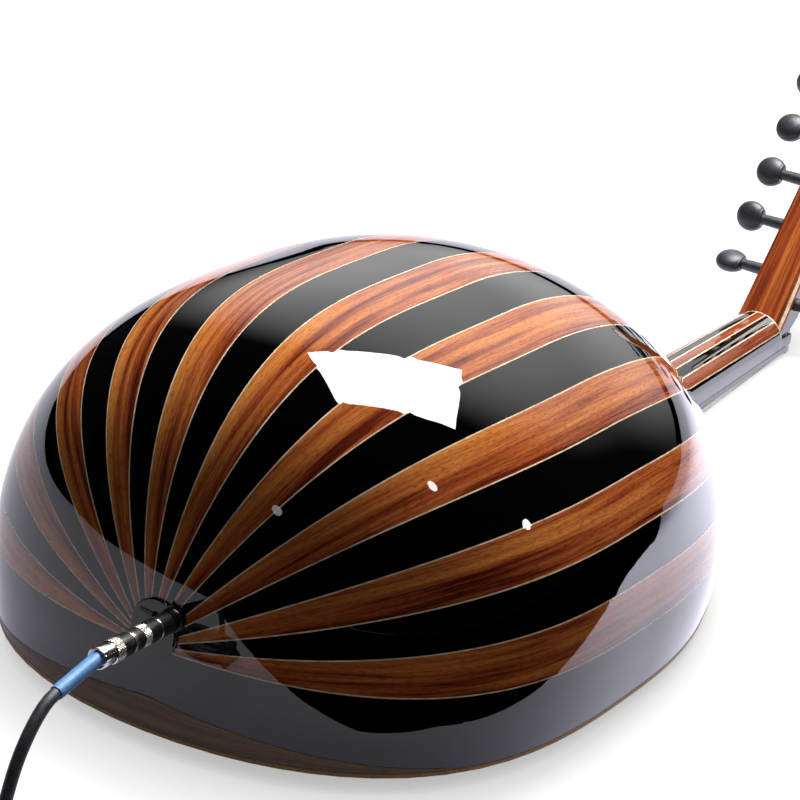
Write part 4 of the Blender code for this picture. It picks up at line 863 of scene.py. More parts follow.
run = np.concatenate([share * NECK_LENGTH, [NECK_LENGTH, NECK_LENGTH + NECK_STEP]])
grain = np.stack([np.repeat(run[:, None], columns, 1), np.repeat(girth[None], len(run), 0)], -1).reshape(-1, 2)
grain = np.vstack([grain, [[0, 0], [0.2, 0]]])
looks = np.array(stripes + [1])
which = np.repeat(looks[None], len(rings) - 1, 0)
which[0] = 0
which[len(share) - 2] = 0
which[len(share) - 1:] = 1
which = np.concatenate([which.ravel(), np.ones(2 * columns, int)])
piece("neck_veneered", closed(to_world(rings)), [MAPLE, EBONISED, NECK_ROSEWOOD], instead_of=("neck",),
      uvs={"grain": grain, "rib": grain * 0}, crease=40, which=which)


# Fingerboard, nut and blocks
# The fingerboard is a plain strip of ebony, without frets. The nut is bone with a slot for each string. The
# blocks are limewood, and close the bowl inside at its two ends.
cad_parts["fingerboard"].data.materials.clear()
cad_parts["fingerboard"].data.materials.append(RUBBED_EBONY)


def bone():
    """Bone: cream, with faint darker flecks and a soft polish. Light enters it a little."""
    made, tree, shader = new_finish("polished bone", roughness=0.3, subsurface_weight=0.15, subsurface_scale=0.001)
    place = add(tree, "TexCoord")
    stretched = add(tree, "Mapping", {"Vector": place.outputs["Object"], "Scale": (900, 160, 900)})
    fleck = add(tree, "TexNoise", {"Vector": stretched.outputs[0], "Scale": 1.0, "Detail": 3.0})
    tone = add(tree, "ValToRGB", {0: fleck.outputs[0]}, stops=((0.3, "#d8c8a0"), (0.6, "#efe6cf")))
    tree.links.new(tone.outputs[0], shader.inputs["Base Color"])
    return made


BONE = bone()
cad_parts["nut"].data.materials.clear()
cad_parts["nut"].data.materials.append(BONE)
BLOCK_WOOD = oiled_wood("planed lime wood", "#d9be92", "#bd9a68", roughness=0.6)
for name in ("neck_block", "tail_block"):
    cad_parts[name].data.materials.clear()
    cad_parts[name].data.materials.append(BLOCK_WOOD)


# Pegbox
# Bent back from the neck: a back plate of mahogany stained orange-brown, with a maple line along its treble
# edge, two ebonised cheeks with the pegs' holes, and a small rounded end block.
PEGBOX_ANGLE = math.radians(48.5)
PEGBOX_LENGTH = 0.205
PEGBOX_START_HEIGHT = 0.0149
PEGBOX_HALF_WIDTH = 0.016
PEGBOX_END_HALF_WIDTH = 0.011
PLATE_THICKNESS = 0.0025
EDGE_LINE = 0.0030
PLATE_ROUND = 0.0007


def on_pegbox(t, d, y):
    """Point of the pegbox in the oud's frame: t along it from the neck, d deep under its back, and y."""
    t, d, y = np.broadcast_arrays(np.asarray(t, float), d, y)
    x = NUT_X - NECK_STEP + t * math.cos(PEGBOX_ANGLE) + d * math.sin(PEGBOX_ANGLE)
    z = PEGBOX_START_HEIGHT + t * math.sin(PEGBOX_ANGLE) - d * math.cos(PEGBOX_ANGLE)
    return np.stack([x, y, z], -1)


def pegbox_half_width(t):
    """Half the pegbox's width, which tapers evenly from the neck to the end block."""
    return PEGBOX_HALF_WIDTH + (PEGBOX_END_HALF_WIDTH - PEGBOX_HALF_WIDTH) * np.clip(t / PEGBOX_LENGTH, 0, 1)


MAHOGANY = lacquered_grain("lacquered mahogany", (
    (0.0, "#ca763c"), (0.3, "#b45c2c"), (0.55, "#934123"), (0.78, "#6c2c1b"), (1.0, "#461a13")), pore_depth=0.25)

plate_turn = np.linspace(0, math.pi / 2, 5)
round_in = PLATE_ROUND * (1 - np.cos(plate_turn))
round_down = PLATE_ROUND * (1 - np.sin(plate_turn))
section_out = np.concatenate([[0.0], -round_in])
section_deep = np.concatenate([[PLATE_THICKNESS], round_down])
along_plate = np.linspace(0, 1, 80)
plate_grid = []
for sign in (1, -1):
    for out, deep in (zip(section_out, section_deep) if sign > 0 else zip(section_out[::-1], section_deep[::-1])):
        start = GAP / math.cos(PEGBOX_ANGLE) - deep * math.tan(PEGBOX_ANGLE)
        t = start + (PEGBOX_LENGTH - start) * along_plate
        plate_grid.append((t, np.full_like(t, deep), sign * (pegbox_half_width(t) + out)))
    if sign > 0:
        for share in (1 - EDGE_LINE / PEGBOX_HALF_WIDTH, 0.85, 0.5, 0.0, -0.5, -0.85, -1 + EDGE_LINE / PEGBOX_HALF_WIDTH):
            start = GAP / math.cos(PEGBOX_ANGLE)
            t = start + (PEGBOX_LENGTH - start) * along_plate
            plate_grid.append((t, np.zeros_like(t), share * (pegbox_half_width(t) - PLATE_ROUND)))
plate_rings = np.stack([on_pegbox(*line) for line in plate_grid], 1)
columns = plate_rings.shape[1]
wide = np.array([line[2][0] for line in plate_grid])
grain = np.stack([np.repeat(along_plate[:, None] * PEGBOX_LENGTH, columns, 1) + 3, np.repeat(wide[None], 80, 0) + 2], -1)
grain = np.vstack([grain.reshape(-1, 2), [[3, 2], [3.2, 2]]])
is_line = [1 if i == 12 else 0 for i in range(columns)]
which = np.concatenate([np.tile(is_line, 79), np.zeros(2 * columns, int)])
piece("pegbox_back_plate", closed(to_world(plate_rings)), [MAHOGANY, MAPLE], instead_of=("pegbox_back",),
      uvs={"grain": grain, "rib": grain * 0}, which=which)
for name in ("pegbox_cheek_left", "pegbox_cheek_right", "pegbox_end"):
    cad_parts[name].data.materials.clear()
    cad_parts[name].data.materials.append(EBONISED)


# Pegs
# Eleven turned ebony pegs, with heads by turns on one side and the other. Each is a taper through both
# cheeks, a plain neck, and an egg-shaped, flattened thumb piece with a flat base and a turned line at its rim.
PEG_COUNT = 11
FIRST_PEG_T = 0.0235
PEG_STEP = 0.01665
PEG_DEPTH = 0.0070
PEG_HEAD_RADIUS = 0.0098
PEG_HEAD_CENTRE = 0.0402
PEG_HEAD_HALF_THICKNESS = 0.0070
PEG_SHAFT_RADIUS = 0.0040
PEG_TIP_RADIUS = 0.0032
PEG_NECK_RADIUS = 0.0035
PEG_TIP_OUT = 0.0015
PEG_SIDES = 36
PEG_TURNS = (70, 15, 100, 75, 40, 60, 120, 50, 85, 95, 30)

PEG_EBONY = ebony("turned ebony", 0.40, "#2c2e33", "#44464d")


def peg_place(number):
    """Place of a peg along the pegbox, and the side that its head is on."""
    return FIRST_PEG_T + (number - 1) * PEG_STEP, -1 if number % 2 else 1


def peg_profile(half):
    """Along the peg from its tip: distance from the middle plane, and half width and half thickness there."""
    base = PEG_HEAD_CENTRE - PEG_HEAD_RADIUS
    tip = -half - PEG_TIP_OUT
    plain = [(tip, 0.8), (tip + 0.0003, 0.93), (tip + 0.0008, 1.0)]
    rows = [(y, PEG_TIP_RADIUS * size, PEG_TIP_RADIUS * size) for y, size in plain]
    rows += [(half, PEG_SHAFT_RADIUS, PEG_SHAFT_RADIUS), (base - 0.0004, PEG_NECK_RADIUS, PEG_NECK_RADIUS),
             (base, PEG_NECK_RADIUS, PEG_NECK_RADIUS)]
    fullest = 0.46
    u = np.concatenate([np.linspace(0, 0.14, 15), np.linspace(0.17, 0.9, 20), np.linspace(0.92, 0.999, 9)])
    away = np.where(u < fullest, (u - fullest) / fullest, (u - fullest) / (1 - fullest))
    line = 1 - 0.04 * np.exp(-((u - 0.075) / 0.012) ** 2) - 0.05 * np.exp(-(u / 0.01) ** 2)
    wide = PEG_HEAD_RADIUS * np.sqrt(1 - (np.where(u < fullest, 0.80, 1.0) * away) ** 2) * line
    thick = PEG_HEAD_HALF_THICKNESS * 0.86 * np.sqrt(1 - (np.where(u < fullest, 0.70, 1.0) * away) ** 2) * line
    y = base + 2 * PEG_HEAD_RADIUS * 0.93 * u
    return np.vstack([np.array(rows), np.column_stack([y, wide, thick])])


for number in range(1, PEG_COUNT + 1):
    t, side = peg_place(number)
    profile = peg_profile(float(pegbox_half_width(t)))
    axis = on_pegbox(t, PEG_DEPTH, 0.0)
    turned = math.radians(PEG_TURNS[number - 1])
    flat = np.array([math.cos(turned), 0, math.sin(turned)])
    other = np.array([-math.sin(turned), 0, math.cos(turned)])
    round_it = np.linspace(0, 2 * math.pi, PEG_SIDES, endpoint=False)
    centres = axis + np.outer(profile[:, 0] * side, (0, 1, 0))
    rings = (centres[:, None] + (profile[:, 1][:, None] * np.cos(round_it))[..., None] * flat
             + (profile[:, 2][:, None] * np.sin(round_it))[..., None] * other)
    piece("peg_turned_%02d" % number, closed(to_world(rings)), PEG_EBONY, rides="peg_%02d" % number,
          instead_of=("peg_%02d" % number,), crease=60)


# Strings
# A single bass and five pairs, wound in silvered copper for the bass ones and plain nylon for the others. Each
# runs from its knot at the bridge through a slot of the nut to three turns round its peg.
STRING_HEIGHT_AT_BRIDGE = 0.0075
STRING_SPREAD_AT_BRIDGE = 0.039
STRING_SPREAD_AT_NUT = 0.0142
PAIR_SPACING_AT_BRIDGE = 0.0034
PAIR_SPACING_AT_NUT = 0.0026
STRING_RADII = (0.0006, 0.0005, 0.00045, 0.0004, 0.00035, 0.0003)
WOUND_COURSES = 3
NUT_LENGTH = 0.005
NUT_SLOT_FLOOR = 0.0002
STRING_SIDES = 10
WINDING_TURNS = 3.0
KNOT_TURNS = 2.5

WOUND_STRING, wound_tree, wound_shader = new_finish("silvered copper winding", metallic=1.0, base_color=colour("#c4bda8"),
                                                    roughness=0.3)
wound_place = add(wound_tree, "TexCoord")
wound_ridges = add(wound_tree, "TexWave", {"Vector": wound_place.outputs["Object"], "Scale": 400.0, "Distortion": 0.0},
                   bands_direction="X")
wound_bump = add(wound_tree, "Bump", {"Height": wound_ridges.outputs[1], "Strength": 0.6, "Distance": 0.0001})
wound_tree.links.new(wound_bump.outputs[0], wound_shader.inputs["Normal"])
NYLON_STRING, nylon_tree, nylon_shader = new_finish("clear nylon", roughness=0.25, transmission_weight=0.3)
nylon_place = add(nylon_tree, "TexCoord")
nylon_haze = add(nylon_tree, "TexNoise", {"Vector": nylon_place.outputs["Object"], "Scale": 90.0})
nylon_tone = add(nylon_tree, "ValToRGB", {0: nylon_haze.outputs[0]}, stops=((0.3, "#d8d2c2"), (0.7, "#efece2")))
nylon_tree.links.new(nylon_tone.outputs[0], nylon_shader.inputs["Base Color"])


def tube(path, radius, sides, upright=(0, 0, 1)):
    """A closed round tube along a path: circles square to it, one axis of each kept level to upright."""
    path = np.asarray(path, float)
    tangent = np.gradient(path, axis=0)
    tangent /= np.linalg.norm(tangent, axis=1, keepdims=True)
    level = np.cross(tangent, upright)
    level /= np.linalg.norm(level, axis=1, keepdims=True)
    raised = np.cross(level, tangent)
    angle = np.linspace(0, 2 * math.pi, sides, endpoint=False)
    size = np.broadcast_to(radius, len(path))[:, None, None]
    circle = np.cos(angle)[None, :, None] * level[:, None] + np.sin(angle)[None, :, None] * raised[:, None]
    return closed(path[:, None] + size * circle)


def string_places():
    """For each string its course, its y at the bridge and at the nut, and its radius."""
    places = []
    for course, radius in enumerate(STRING_RADII):
        at_bridge = STRING_SPREAD_AT_BRIDGE * (1 - course / 2.5)
        at_nut = STRING_SPREAD_AT_NUT * (1 - course / 2.5)
        for side in ((0,) if course == 0 else (1, -1)):
            places.append((course, at_bridge + side * PAIR_SPACING_AT_BRIDGE / 2,
                           at_nut + side * PAIR_SPACING_AT_NUT / 2, radius))
    return places


def peg_of_string(string):
    """The outer strings go to the nearest pegs and the middle one to the farthest."""
    middle = len(STRINGS) // 2
    return 1 + 2 * (middle - abs(string - middle)) + (1 if string > middle else 0)


STRINGS = string_places()
KNOT_X = BRIDGE_X + BRIDGE_FOOT / 2 - (BRIDGE_FOOT - BRIDGE_TOP) / 2 * STRING_HEIGHT_AT_BRIDGE / BRIDGE_HEIGHT + GAP
knots = {True: [], False: []}
runs = {}
for string, (course, at_bridge, at_nut, radius) in enumerate(STRINGS):
    number = peg_of_string(string)
    t, side = peg_place(number)
    winding_y = 0.45 * at_nut
    taper = abs(side * PEGBOX_HALF_WIDTH - winding_y) / (2 * PEGBOX_HALF_WIDTH)
    coil_radius = PEG_SHAFT_RADIUS + (PEG_TIP_RADIUS - PEG_SHAFT_RADIUS) * taper + GAP + radius
    at_nut_z = -NUT_HEIGHT + NUT_SLOT_FLOOR + radius
    knot = np.array([KNOT_X + radius + (PAIR_SPACING_AT_BRIDGE / 2 if course else 0), at_bridge, -STRING_HEIGHT_AT_BRIDGE])
    run = [on_pegbox(t, PEG_DEPTH + coil_radius, winding_y), np.array([NUT_X + 2 * radius, at_nut, at_nut_z]),
           np.array([NUT_X - NUT_LENGTH - 0.001, at_nut, at_nut_z]), knot]
    runs.setdefault(course, []).append(run)
    angle = np.linspace(0, 2 * math.pi * WINDING_TURNS, int(24 * WINDING_TURNS))
    pitch = 2.1 * radius / (2 * math.pi)
    inwards = -1 if winding_y > 0 else 1
    winding = on_pegbox(t - coil_radius * np.sin(angle), PEG_DEPTH + coil_radius * np.cos(angle),
                        winding_y + inwards * pitch * angle)
    look = WOUND_STRING if course < WOUND_COURSES else NYLON_STRING
    piece("string_winding_%02d" % number, tube(to_world(winding), radius, STRING_SIDES, (0, 1, 0)), look,
          rides="peg_%02d" % number, crease=60)
    angle = np.linspace(0, 2 * math.pi * KNOT_TURNS, 50)
    spiral = np.stack([knot[0] + 0.004 + 2.2 * radius * angle / (2 * math.pi),
                       knot[1] + 2.1 * radius * np.cos(angle), knot[2] + 2.1 * radius * np.sin(angle)], -1)
    knots[course < WOUND_COURSES].append(tube(to_world(spiral), radius, STRING_SIDES, (1, 0, 0)))
piece("string_knots_wound", joined(knots[True]), WOUND_STRING, crease=60)
piece("string_knots_nylon", joined(knots[False]), NYLON_STRING, crease=60)

for course, members in runs.items():
    radius = STRING_RADII[course]
    path = list(members[0])
    if len(members) == 2:
        bend = PAIR_SPACING_AT_BRIDGE / 2
        angle = np.linspace(0, math.pi, 13)[1:-1]
        path += [members[0][-1] - np.array([bend * math.sin(a), bend * (1 - math.cos(a)), 0]) for a in angle]
        path += members[1][::-1]
    node = "string_bass" if course == 0 else "string_pair_%d" % course
    look = WOUND_STRING if course < WOUND_COURSES else NYLON_STRING
    piece("strings_course_%d" % (course + 1), tube(to_world(path), radius, STRING_SIDES), look,
          instead_of=(node,), crease=60)


# Jack socket
# A black turned socket through the tail: a stepped flange outside and a barrel in the tail block.
JACK_FLANGE_FRONT = -0.0050
JACK_STEP = -0.0016
JACK_NOSE_RADIUS = 0.0058
JACK_BARREL_RADIUS = 0.0046
JACK_BARREL_END = 0.026
JACK_BORE_RADIUS = 0.0033
TURNED_SIDES = 64

BLACK_NYLON, black_nylon_tree, black_nylon_shader = new_finish("black moulded nylon", base_color=colour("#0b0b0d"),
                                                               roughness=0.3)
nylon_spot = add(black_nylon_tree, "TexCoord")
nylon_grain = add(black_nylon_tree, "TexNoise", {"Vector": nylon_spot.outputs["Object"], "Scale": 1500.0})
nylon_bump = add(black_nylon_tree, "Bump", {"Height": nylon_grain.outputs[0], "Strength": 0.3, "Distance": 0.00003})
black_nylon_tree.links.new(nylon_bump.outputs[0], black_nylon_shader.inputs["Normal"])


def lathe(profile, start, direction, sides=TURNED_SIDES, ripple=0.0, ribs=0, pitch=1.0):
    """A body turned round a line: rings of the profile's radius at its distances. For a knurl, the product of
    a wave round it and a wave along it is added to the radius."""
    profile = np.asarray(profile, float)
    direction = np.asarray(direction, float)
    across = np.cross(direction, (0, 0, 1))
    across /= np.linalg.norm(across)
    upward = np.cross(across, direction)
    angle = np.linspace(0, 2 * math.pi, sides, endpoint=False)
    wave = np.cos(ribs * angle) * np.cos(2 * math.pi * profile[:, 0] / pitch)[:, None]
    radius = profile[:, 1][:, None] + ripple * wave
    centre = np.asarray(start) + profile[:, 0][:, None] * direction
    return (centre[:, None] + (radius * np.cos(angle))[..., None] * across
            + (radius * np.sin(angle))[..., None] * upward)


jack_middle = np.array([0, JACK_Y, JACK_Z])
jack_inward = np.array([math.cos(JACK_TILT), 0, -math.sin(JACK_TILT)])
rim = np.linspace(0, 2 * math.pi, 32)
rim_points = tail_surface(JACK_Y + JACK_FLANGE_RADIUS * np.cos(rim), JACK_Z + JACK_FLANGE_RADIUS * np.sin(rim))
seat = ((rim_points - jack_middle) @ jack_inward).min() - GAP
socket_profile = [(JACK_BARREL_END, JACK_BORE_RADIUS), (JACK_BARREL_END, JACK_BARREL_RADIUS), (seat, JACK_BARREL_RADIUS),
                  (seat, JACK_FLANGE_RADIUS), (JACK_STEP + 0.0012, JACK_FLANGE_RADIUS),
                  (JACK_STEP + 0.0005, JACK_FLANGE_RADIUS), (JACK_STEP + 0.0001, JACK_FLANGE_RADIUS - 0.0002),
                  (JACK_STEP, JACK_FLANGE_RADIUS - 0.0005), (JACK_STEP, JACK_NOSE_RADIUS),
                  (JACK_FLANGE_FRONT, JACK_NOSE_RADIUS), (JACK_FLANGE_FRONT, JACK_BORE_RADIUS)]
socket_rings = lathe(socket_profile, jack_middle, jack_inward)
count = len(socket_profile)
index = np.arange(count * TURNED_SIDES).reshape(count, TURNED_SIDES)
index = np.vstack([np.hstack([index, index[:, :1]]), np.append(index[0], index[0, 0])])
socket_faces = np.stack([index[:-1, :-1], index[:-1, 1:], index[1:, 1:], index[1:, :-1]], -1).reshape(-1, 4)
piece("jack_socket_turned", (to_world(socket_rings.reshape(-1, 3)), socket_faces.tolist()), BLACK_NYLON,
      instead_of=("jack_socket",))


# Plugs of the lead
# Two equal jack plugs: a nickel shaft with black insulating rings, a black lacquered barrel with knurled
# nickel rings, a chrome end bell, and a blue heat-shrunk sleeve over the start of the cable.
PLUG_SHAFT_RADIUS = 0.00310
PLUG_SHAFT_LENGTH = 0.029
PLUG_BODY_RADIUS = 0.0061
PLUG_BODY_LENGTH = 0.0475
PLUG_BELL_LENGTH = 0.0083
PLUG_BELL_RADIUS = 0.0055
SLEEVE_RADIUS = 0.0036
SLEEVE_LENGTH = 0.031
SLEEVE_FALL = math.radians(12.9)
SLEEVE_SOCKET = 0.0025
BELL_MOUTH = 0.0047
KNURLS = 22
KNURL_PITCH = 0.0016
KNURL_HEIGHT = 0.00030
BLACK_PARTS = ((0.0, 0.0093, 0.91), (0.0101, 0.0184, 0.91), (0.0236, 0.0296, 0.90), (0.0316, 0.0397, 0.92))
PLAIN_RINGS = ((0.0093, 0.0101, 0.925), (0.0296, 0.0316, 0.92))
KNURLED_RINGS = ((0.0184, 0.0236, 0.895), (0.0397, 0.0457, 0.945))
BARREL_END = 0.0457


def metal(name, code, roughness, scratch_mm):
    """Plated metal: mirror-like, with fine handling scratches that spread the reflection unevenly."""
    made, tree, shader = new_finish(name, metallic=1.0, base_color=colour(code))
    place = add(tree, "TexCoord")
    wear = add(tree, "TexNoise", {"Vector": place.outputs["Object"], "Scale": 1000 / scratch_mm, "Detail": 4.0,
                                  "Roughness": 0.7})
    shine = add(tree, "MapRange", {"Value": wear.outputs[0], "From Min": 0.35, "From Max": 0.7,
                                   "To Min": roughness, "To Max": roughness + 0.22})
    tree.links.new(shine.outputs[0], shader.inputs["Roughness"])
    return made


def barrel_lacquer():
    """Black stoved lacquer on brass, dull, with a few specks worn pale."""
    made, tree, shader = new_finish("stoved black lacquer", roughness=0.38, specular_ior_level=0.4)
    place = add(tree, "TexCoord")
    chips = add(tree, "TexNoise", {"Vector": place.outputs["Object"], "Scale": 900.0, "Detail": 3.0})
    tone = add(tree, "ValToRGB", {0: chips.outputs[0]}, stops=((0.62, "#0a0a0b"), (0.74, "#8d887c")))
    tree.links.new(tone.outputs[0], shader.inputs["Base Color"])
    return made


def heat_shrink():
    """Light blue polyolefin sleeve, shrunk on with hot air: a soft sheen and faint lengthwise wrinkles."""
    made, tree, shader = new_finish("blue heat-shrunk sleeve", roughness=0.5, specular_ior_level=0.35)
    place = add(tree, "TexCoord")
    creased = add(tree, "Mapping", {"Vector": place.outputs["Object"], "Scale": (150, 900, 900)})
    crease = add(tree, "TexNoise", {"Vector": creased.outputs[0], "Scale": 1.0, "Detail": 2.0})
    tone = add(tree, "ValToRGB", {0: crease.outputs[0]}, stops=((0.3, "#4d80bc"), (0.7, "#6898cc")))
    bump = add(tree, "Bump", {"Height": crease.outputs[0], "Strength": 0.5, "Distance": 0.0001})
    tree.links.new(tone.outputs[0], shader.inputs["Base Color"])
    tree.links.new(bump.outputs[0], shader.inputs["Normal"])
    return made


NICKEL = metal("plated nickel", "#cfcac0", 0.14, 0.5)
KNURLED_NICKEL = metal("knurled nickel", "#b9b4aa", 0.22, 0.5)
CHROME = metal("chrome", "#e3e4e6", 0.06, 1.5)
BARREL = barrel_lacquer()
HEAT_SHRINK = heat_shrink()


def ring_profile(start, end, radius, edge=0.00025):
    """A collar with slightly rounded edges."""
    return [(start, radius - edge), (start + 0.3 * edge, radius - 0.3 * edge), (start + edge, radius),
            (start + 1.4 * edge, radius), (end - 1.4 * edge, radius), (end - edge, radius),
            (end - 0.3 * edge, radius - 0.3 * edge), (end, radius - edge)]


def knurl_profile(start, end, radius, edge=0.00025):
    """A collar with rows four to a diamond, so that a knurl can be pressed into it."""
    rows = np.arange(start + edge, end - edge, KNURL_PITCH / 4)
    return [(start, radius - edge)] + [(row, radius) for row in rows] + [(end - edge, radius), (end, radius - edge)]


def plug(name, node, tip, direction, place, sleeve_direction, rides="oud_body"):
    """The pieces of one plug, from the tip of its shaft along direction. place maps points to the world."""
    tip = np.asarray(tip, float)
    direction = np.asarray(direction, float)
    r = PLUG_SHAFT_RADIUS
    body = PLUG_SHAFT_LENGTH
    bell = body + BARREL_END
    end = body + PLUG_BODY_LENGTH + PLUG_BELL_LENGTH
    radius = PLUG_BODY_RADIUS

    def turned(part, profiles, look, slot="plug", ripple=0.0, instead_of=(), start=tip, along=direction):
        sides = 4 * KNURLS if ripple else 80
        bodies = [closed(place(lathe(p, start, along, sides, ripple, KNURLS, KNURL_PITCH))) for p in profiles]
        return piece(name + part, joined(bodies), look, rides=rides, instead_of=instead_of, crease=30)

    tip_angle = np.linspace(0.15, 1, 8) * math.pi / 2
    tip_rows = [(0.0025 * (1 - math.cos(a)), r * math.sin(a)) for a in tip_angle]
    nickel = [tip_rows + [(0.0052, r), (0.0062, 0.72 * r), (0.0072, 0.72 * r)], [(0.0083, r), (0.0145, r)],
              [(0.0156, r), (body, r)]]
    made = [turned("_shaft", nickel, NICKEL, instead_of=(node,)),
            turned("_insulators", [[(0.0072, 0.98 * r), (0.0083, 0.98 * r)], [(0.0145, 0.98 * r), (0.0156, 0.98 * r)]],
                   BLACK_NYLON),
            turned("_barrel", [ring_profile(body + a, body + b, radius * k) for a, b, k in BLACK_PARTS], BARREL),
            turned("_rings", [ring_profile(body + a, body + b, radius * k) for a, b, k in PLAIN_RINGS], NICKEL),
            turned("_knurled_rings", [knurl_profile(body + a, body + b, radius * k) for a, b, k in KNURLED_RINGS],
                   KNURLED_NICKEL, ripple=KNURL_HEIGHT)]
    wide = PLUG_BELL_RADIUS
    bell_rows = [(bell, wide), (bell + 0.0002, wide + 0.0003), (bell + 0.0008, wide + 0.0003),
                 (bell + 0.0010, wide), (bell + 0.0013, wide), (end - 0.0016, wide), (end - 0.0010, wide - 0.0001)]
    bell_rows += [(end - 0.0010 + 0.0010 * math.sin(a), wide - 0.0006 + 0.0005 * math.cos(a))
                  for a in np.linspace(0.3, math.pi / 2, 5)]
    bell_rows += [(end, BELL_MOUTH + 0.0001), (end - 0.0001, BELL_MOUTH), (end - SLEEVE_SOCKET, BELL_MOUTH)]
    made.append(turned("_bell", [bell_rows], CHROME))
    share = np.concatenate([[0.0], np.linspace(0.02, 0.985, 44), [0.993, 1.0]])
    wrinkle = 0.00005 * np.sin(share * 40) * np.sin(share * 17)
    sleeve = np.column_stack([(SLEEVE_LENGTH + SLEEVE_SOCKET) * share - SLEEVE_SOCKET, SLEEVE_RADIUS + wrinkle])
    sleeve[-1, 1] -= 0.0002
    made.append(turned("_sleeve", [sleeve], HEAT_SHRINK, start=tip + direction * end, along=sleeve_direction))
    return made


near_tip = jack_middle + jack_inward * (JACK_FLANGE_FRONT - GAP + PLUG_SHAFT_LENGTH)
falling = SLEEVE_FALL - JACK_TILT
near_pieces = plug("near_plug", "cable_plug", near_tip, -jack_inward, to_world,
                   (-math.cos(falling), 0, -math.sin(falling)))
far_low, far_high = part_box("far_plug")
far_tip = ((far_low.x + far_high.x) / 2, far_high.y, PLUG_BODY_RADIUS)
far_pieces = plug("second_plug", "far_plug", far_tip, (0, -1, 0), np.asarray, (0, -1, 0))


# Lead
# A black rubber instrument lead, 6.3 mm thick and 3 m long. It hangs from the plug's sleeve to the floor, and
# lies in a neat coil of twelve turns, three wide and four high, with its other plug beside it.
CABLE_RADIUS = 0.00315
CABLE_ROUTE = (
    (-0.50101, -0.0125, 0.07401),
    (-0.5051, -0.0125, 0.0731),
    (-0.5089, -0.0125, 0.0713),
    (-0.5130, -0.0125, 0.0684),
    (-0.5178, -0.0125, 0.0640),
    (-0.5226, -0.0125, 0.0584),
    (-0.5267, -0.0125, 0.0526),
    (-0.5306, -0.0125, 0.0455),
    (-0.5342, -0.0125, 0.0369),
    (-0.5382, -0.0125, 0.0268),
    (-0.5437, -0.0125, 0.0168),
    (-0.5517, -0.0125, 0.0091),
    (-0.5624, -0.0125, 0.0048),
    (-0.5766, -0.0125, 0.00325),
    (-0.5919, -0.0150, 0.00315),
)
COIL_CENTRE = (-0.6074, 0.0240)
COIL_COLUMNS = 3
COIL_LAYERS = 4
OUTER_TURN_RADIUS = 0.04185
TURN_PITCH = 0.0063
POINTS_PER_TURN = 36
CROSSING_START = 0.80
CROSSING_END = 0.97
LAST_TURN_START = 11.25
LAST_TURN_END = 12.25
CABLE_POINT_STEP = 0.0048


def ease(x):
    """Smooth step from 0 to 1."""
    x = np.clip(x, 0, 1)
    return x * x * (3 - 2 * x)


def coil_path():
    """Turns that lie side by side, inwards on one layer and outwards on the next. Each steps to its
    neighbour's place on a short crossing, and the last one comes down outside the others to the floor."""
    turns = np.arange(0, LAST_TURN_END + 1e-9, 1 / POINTS_PER_TURN)
    whole = np.minimum(np.floor(turns).astype(int), COIL_COLUMNS * COIL_LAYERS - 1)

    def place_of(number):
        layer = np.minimum(number // COIL_COLUMNS, COIL_LAYERS - 1)
        along = np.where(number >= COIL_COLUMNS * COIL_LAYERS, COIL_COLUMNS - 1, number % COIL_COLUMNS)
        column = np.where(layer % 2 == 0, along, COIL_COLUMNS - 1 - along)
        return OUTER_TURN_RADIUS - TURN_PITCH * column, CABLE_RADIUS + TURN_PITCH * layer

    crossing = ease((turns - whole - CROSSING_START) / (CROSSING_END - CROSSING_START))
    radius, height = place_of(whole)
    next_radius, next_height = place_of(whole + 1)
    radius = radius + (next_radius - radius) * crossing
    height = height + (next_height - height) * crossing
    radius = radius + TURN_PITCH * ease((turns - LAST_TURN_START) / 0.2)
    height = height + (PLUG_BODY_RADIUS - height) * ease((turns - LAST_TURN_START) / (LAST_TURN_END - LAST_TURN_START))
    angle = -math.pi / 2 - 2 * math.pi * turns
    return np.stack([COIL_CENTRE[0] + radius * np.cos(angle), COIL_CENTRE[1] + radius * np.sin(angle), height], -1)


def smooth_line(points, step):
    """Points at even steps on the smooth curve through the given ones, a cubic between each two."""
    points = np.asarray(points, float)
    ends = np.vstack([2 * points[0] - points[1], points, 2 * points[-1] - points[-2]])
    p0, p1, p2, p3 = (ends[i:len(ends) - 3 + i, None] for i in range(4))
    u = np.linspace(0, 1, 12, endpoint=False)[None, :, None]
    curve = 0.5 * (2 * p1 + (p2 - p0) * u + (2 * p0 - 5 * p1 + 4 * p2 - p3) * u ** 2
                   + (3 * p1 - p0 - 3 * p2 + p3) * u ** 3)
    fine = np.vstack([curve.reshape(-1, 3), points[-1:]])
    fine[:, 2] = np.maximum(fine[:, 2], CABLE_RADIUS)
    lengths = np.concatenate([[0], np.cumsum(np.linalg.norm(np.diff(fine, axis=0), axis=1))])
    places = np.linspace(0, lengths[-1], int(round(lengths[-1] / step)) + 1)
    return np.stack([np.interp(places, lengths, fine[:, axis]) for axis in range(3)], -1)


def cable_rubber():
    """Black rubber jacket: dark grey with a dull sheen and a fine extruded texture."""
    made, tree, shader = new_finish("black rubber jacket", roughness=0.5, specular_ior_level=0.45)
    place = add(tree, "TexCoord")
    dust = add(tree, "TexNoise", {"Vector": place.outputs["Object"], "Scale": 260.0, "Detail": 4.0})
    tone = add(tree, "ValToRGB", {0: dust.outputs[0]}, stops=((0.3, "#2a2c32"), (0.75, "#484b53")))
    bump = add(tree, "Bump", {"Height": dust.outputs[0], "Strength": 0.3, "Distance": 0.00005})
    tree.links.new(tone.outputs[0], shader.inputs["Base Color"])
    tree.links.new(bump.outputs[0], shader.inputs["Normal"])
    return made


